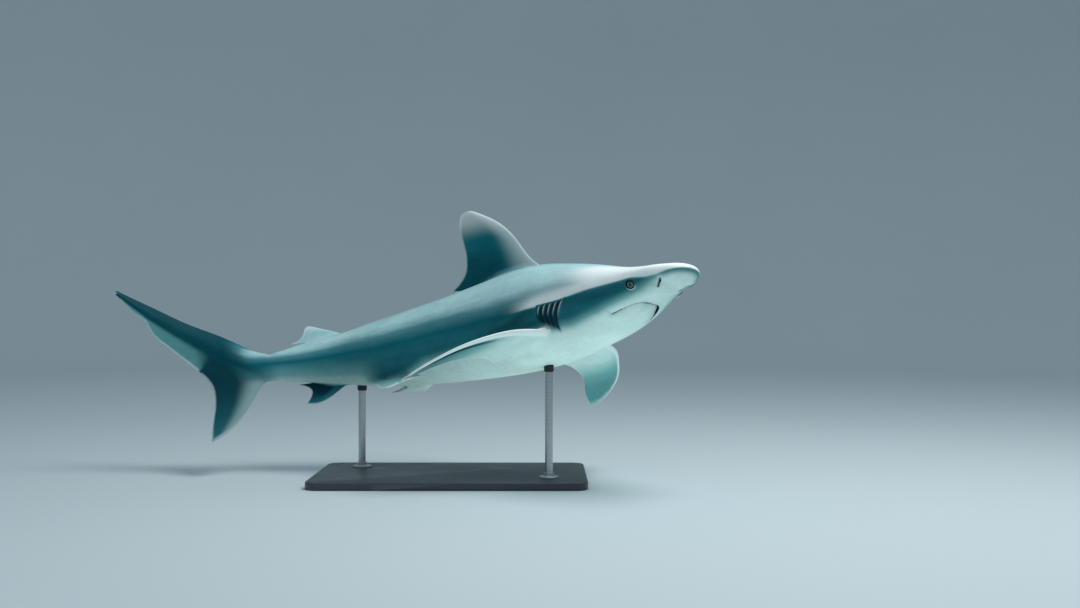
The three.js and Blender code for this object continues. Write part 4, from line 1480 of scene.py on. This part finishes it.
def skin_material():
    """Satin skin: the marks choose its colours, painted light and shade among them, and noise
    breaks them up and roughens it.
    """
    tree = Tree("skin_satin")
    spot, plan = tree.own_place(), tree.vector("plan")
    broad = tree.noise(spot, 9.0, 4.0)
    fine = tree.noise(spot, 70.0, 5.0, 0.6)
    streaks = tree.noise(tree.stretch(plan, (0.1, 1.1, 1.1)), 1.0, 4.0, 0.55)

    wander = tree.times(tree.math("SUBTRACT", streaks, 0.5), 0.08)
    # The ramp's dark teal flank is painted shade and its light back painted light.
    tone = tree.ramp(tree.plus(tree.value("shade"), wander), SKIN_STOPS)
    mottle = tree.step(tree.plus(broad, tree.times(fine, 0.5)), 0.45, 1.05, 0.88, 1.1)
    grey = tree.add("ShaderNodeCombineColor", {k: mottle for k in ("Red", "Green", "Blue")})
    tone = tree.blend(1.0, tone, grey.outputs[0], "MULTIPLY")
    signed = tree.value("tone")
    # The crown's painted highlight and paler fin tips, then darker parts with painted shade among
    # them.
    tone = tree.blend(tree.step(signed, 0.0, 1.0), tone, PALER)
    tone = tree.blend(tree.step(signed, 0.0, -1.0), tone, DARKER)
    # A painted highlight along the fin margins.
    rim = tree.step(tree.plus(tree.value("rim"), tree.times(fine, 0.03)), 0.94, 1.005)
    tone = tree.blend(tree.times(rim, 0.4), tone, RIM_HIGHLIGHT)
    # Painted highlights, and the pale nasal flap.
    tone = tree.blend(tree.value("pale"), tone, PALE_AND_HIGHLIGHT)
    # Painted shade in the openings and slits and round them.
    tone = tree.blend(tree.value("dark"), tone, SHADOW)
    rough = tree.plus(tree.times(fine, 0.22), 0.31)
    rough = tree.plus(rough, tree.times(tree.value("dark"), 0.4))

    fibres = tree.noise(tree.stretch(tree.fin_place(), (1.0, 0.15, 1.0)), 1.6, 3.0, 0.6)
    fibres = tree.times(fibres, tree.step(tree.value("rim"), 0.3, 0.8))
    grain = tree.noise(spot, 1100.0, 2.0)
    normal = tree.bump(streaks, 1.5 * MM, 0.3)
    normal = tree.bump(fibres, 0.5 * MM, 0.25, normal)
    normal = tree.bump(fine, 0.8 * MM, 0.3, normal)
    normal = tree.bump(grain, 0.15 * MM, 0.5, normal)
    tree.surface({"Base Color": tone, "Roughness": rough, "Normal": normal})
    tree.surface({"Specular IOR Level": 0.05, "Coat Weight": 0.04, "Coat Roughness": 0.2})
    return tree.material


def eye_material():
    """A wet dark eye: a tall oval pupil in a grey-green iris with a dark outer ring. The
    gaze marks are places across the eye, in mm."""
    tree = Tree("eye_wet")
    gaze = tree.add("ShaderNodeSeparateXYZ", {0: tree.vector("gaze")})
    a, b = gaze.outputs[0], gaze.outputs[1]
    reach, oval = tree.reach(a, b), tree.reach(a, tree.times(b, 0.72))
    turn = tree.math("ARCTAN2", b, a)
    spokes = tree.add("ShaderNodeCombineXYZ", {0: tree.times(turn, 6), 1: reach})
    fleck = tree.noise(spokes.outputs[0], 1.4, 4.0, 0.7)
    iris = tree.blend(fleck, colour(30, 70, 74), colour(104, 140, 138))
    iris = tree.blend(tree.step(reach, 6.4, 9.0), iris, colour(10, 26, 30))
    tone = tree.blend(tree.step(oval, 3.8, 3.2), iris, colour(2, 5, 7))
    tree.surface({"Base Color": tone, "Roughness": 0.25, "Specular IOR Level": 0.1})
    tree.surface({"Coat Weight": 0.6, "Coat Roughness": 0.03})
    return tree.material


def paint_material(name, tone, roughness):
    """Satin paint with a faint orange peel."""
    tree = Tree(name)
    spot = tree.own_place()
    cloud = tree.noise(spot, 12.0, 4.0)
    dark = tuple(c * 0.8 for c in tone[:3]) + (1,)
    tree.surface({
        "Base Color": tree.blend(cloud, dark, tone),
        "Roughness": tree.step(cloud, 0.2, 0.8, roughness - 0.06, roughness + 0.06),
        "Normal": tree.bump(tree.noise(spot, 420.0, 2.0), 0.1 * MM, 0.35),
    })
    return tree.material


def steel_material():
    """Steel brushed round the rod."""
    tree = Tree("steel_brushed")
    lines = tree.noise(tree.stretch(tree.own_place(), (25, 25, 1600)), 1.0, 3.0, 0.6)
    tree.surface({
        "Metallic": 1.0,
        "Base Color": tree.blend(lines, colour(165, 168, 170), colour(205, 208, 210)),
        "Roughness": tree.step(lines, 0.2, 0.8, 0.24, 0.38),
        "Normal": tree.bump(lines, 0.05 * MM, 0.4),
    })
    return tree.material


def floor_material():
    tree = Tree("floor_matt")
    cloud = tree.noise(tree.own_place(), 0.8, 3.0)
    tone = tree.blend(cloud, colour(196, 206, 211), colour(201, 211, 216))
    tree.surface({"Base Color": tone, "Roughness": 0.75})
    return tree.material


# ---- other pieces


def eye_piece(side, material):
    """An eyeball whose gaze mark holds each point's place round the eye's axis, in mm."""
    word = "right" if side < 0 else "left"
    centre = eye_centre(side)
    piece = ball(f"shark_eye_{word}", centre, EYE["radius"], 64, 40)
    _, aft, up = eye_axes(side)
    away = (mesh_points(piece.data) - centre) / MM
    add_vectors(piece.data, "gaze", np.stack([away @ aft, away @ up, 0 * away[:, 0]], axis=1))
    finish_piece(piece, material, [f"eye_{word}"])


def turned(name, centre, profile):
    """A solid of revolution about an upright axis; the profile is (radius, height) pairs."""
    ring, middle = level_circle(64), np.append(centre, 0)
    rings = [ring * radius + middle + [0, 0, height] for radius, height in profile]
    piece = loop_sweep(name, np.stack(rings))
    piece.data.set_sharp_from_angle(angle=math.radians(35))
    return piece


def base_piece(paint):
    """The base plate: a rounded rectangle with softened edges."""
    low, high = (np.array(corner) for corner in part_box("stand_base"))
    corner, steps = 36 * MM, 14
    half, middle = (high - low)[:2] / 2, (high + low)[:2] / 2
    rings = []
    for inset, height in ((1.2, 0), (0, 1.2), (0, 17.5), (0.7, 19.3), (2.5, 20)):
        ring = []
        for quarter in range(4):
            turn = np.linspace(quarter, quarter + 1, steps) * np.pi / 2
            spot = np.stack([np.cos(turn), np.sin(turn)], axis=1)
            way = np.array([1 if quarter in (0, 3) else -1, 1 if quarter < 2 else -1])
            ring.append(middle + way * (half - corner) + spot * (corner - inset * MM))
        flat = np.concatenate(ring)
        rings.append(np.insert(flat, 2, low[2] + height * MM, axis=1))
    piece = loop_sweep("display_base", np.stack(rings))
    piece.data.set_sharp_from_angle(angle=math.radians(50))
    finish_piece(piece, paint, ["stand_base"])


# Profiles of a rod's fittings in mm: (radius, height) pairs.
FLANGE = (
    (26, 0.2), (26, 3.5), (24.5, 5), (14.5, 5), (13, 6.5), (13, 13), (12, 14), (10.3, 14), (10.3, 0.2),
)
SLEEVE = ((10.4, 0), (12.2, 0.8), (12.8, 3), (12.8, 24), (10.4, 24), (10.4, 0))
SLEEVE_DROP = 15 * MM  # how far the sleeve reaches down from the skin


def low_skin_level(skin, centre):
    """Height of the skin's underside straight above a point of the base."""
    start = Vector((centre[0], centre[1], 0.05))
    hit, spot, _, _ = skin.ray_cast(start, Vector((0, 0, 1)))
    return spot.z if hit else float(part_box("trunk_middle")[0].z)


def fitting(name, centre, profile, level, material):
    """A turned fitting of a rod, with its profile raised to a level."""
    piece = turned(name, centre, [(r * MM, level + h * MM) for r, h in profile])
    finish_piece(piece, material, [])


def rod_pieces(node, skin, steel, rubber):
    """A rod with a flange on the base and a rubber sleeve where it meets the body."""
    low, high = (np.array(corner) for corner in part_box(node))
    centre, radius = (low + high)[:2] / 2, (high - low)[0] / 2
    base_top = float(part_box("stand_base")[1].z)
    name = node.replace("stand", "display")
    rod = turned(name, centre, [(radius, base_top + 0.3 * MM), (radius, high[2] + 4 * MM)])
    finish_piece(rod, steel, [node])
    fitting(name + "_flange", centre, FLANGE, base_top, steel)
    sleeve_level = low_skin_level(skin, centre) - SLEEVE_DROP
    fitting(name + "_sleeve", centre, SLEEVE, sleeve_level, rubber)


# ---- studio

AIR = {"tone": colour(205, 222, 230), "strength": 0.62}
FLOOR = {"flat": 6.0, "curve": 3.0, "top": 6.5, "around": 97}  # metres, and steps round
CAMERA = {"place": (0.2374, -3.4087, 0.4705), "view": 46}  # metres and degrees across


def studio_floor():
    """A pale bowl of a floor that rises far away on all sides."""
    flat, curve, around = FLOOR["flat"], FLOOR["curve"], FLOOR["around"]
    bend = np.linspace(0.1, 1.57, 14)
    profile = [(0.0, 0.0), (flat, 0.0)]
    profile += [(flat + curve * math.sin(a), curve - curve * math.cos(a)) for a in bend]
    profile += [(flat + curve, FLOOR["top"])]
    turn = np.linspace(0, 2 * np.pi, around)
    ring = np.stack([np.cos(turn), np.sin(turn)], axis=1)
    grid = np.stack([np.insert(ring * max(r, 1e-3), 2, h, axis=1) for r, h in profile])
    index = np.arange(len(profile) * around).reshape(-1, around)
    mesh = bpy.data.meshes.new("studio_floor")
    mesh.from_pydata(grid.reshape(-1, 3).tolist(), [], grid_faces(index)[:, ::-1].tolist())
    mesh.shade_smooth()
    mesh.materials.append(floor_material())
    add_object("studio_floor", mesh)


def studio_air():
    """Even pale light from all round."""
    world = bpy.data.worlds.new("studio_air")
    world.use_nodes = True
    background = world.node_tree.nodes["Background"]
    background.inputs["Color"].default_value = AIR["tone"]
    background.inputs["Strength"].default_value = AIR["strength"]
    bpy.context.scene.world = world


def add_light(name, spot, size, watts, tint, target):
    """A soft rectangular light that the camera doesn't see."""
    light = bpy.data.lights.new(name, "AREA")
    light.shape = "RECTANGLE"
    light.size, light.size_y = size
    light.energy = watts
    light.color = tint
    holder = add_object(name, light)
    holder.visible_camera = False
    holder.location = spot
    direction = Vector(target) - Vector(spot)
    holder.rotation_euler = direction.to_track_quat("-Z", "Y").to_euler()
    return holder


def studio_lights():
    """One large key light from above and in front, and what the floor throws back."""
    add_light("key", (1.4, -1.0, 3.1), (1.6, 1.6), 80, (0.95, 1.0, 1.0), (0.05, 0.0, 0.35))
    low, above = (0.18, -0.1, 0.03), (0.1, -0.1, 1.0)
    bounce = add_light("bounce", low, (1.25, 0.9), 2.4, (0.8, 1.0, 0.98), above)
    bounce.visible_glossy = False


def studio_camera():
    """The camera at the photograph's viewing angle, level and above the floor."""
    camera = bpy.data.cameras.new("camera")
    camera.sensor_width = 36
    camera.lens = camera.sensor_width / 2 / math.tan(math.radians(CAMERA["view"] / 2))
    camera.clip_end = 60
    holder = add_object("camera", camera)
    holder.location = CAMERA["place"]
    holder.rotation_euler = (math.radians(90), 0, 0)
    bpy.context.scene.camera = holder
    bpy.context.scene.view_settings.view_transform = "Standard"


# ---- assembly


def build():
    eye_wet, steel = eye_material(), steel_material()
    paint = paint_material("base_satin", colour(58, 66, 70), 0.36)
    rubber = paint_material("rubber", colour(28, 30, 31), 0.6)
    skin = shark_skin()
    for side in (-1, 1):
        eye_piece(side, eye_wet)
    base_piece(paint)
    for node in ("stand_rod_front", "stand_rod_rear"):
        rod_pieces(node, skin, steel, rubber)
    studio_floor()
    studio_air()
    studio_lights()
    studio_camera()


build()
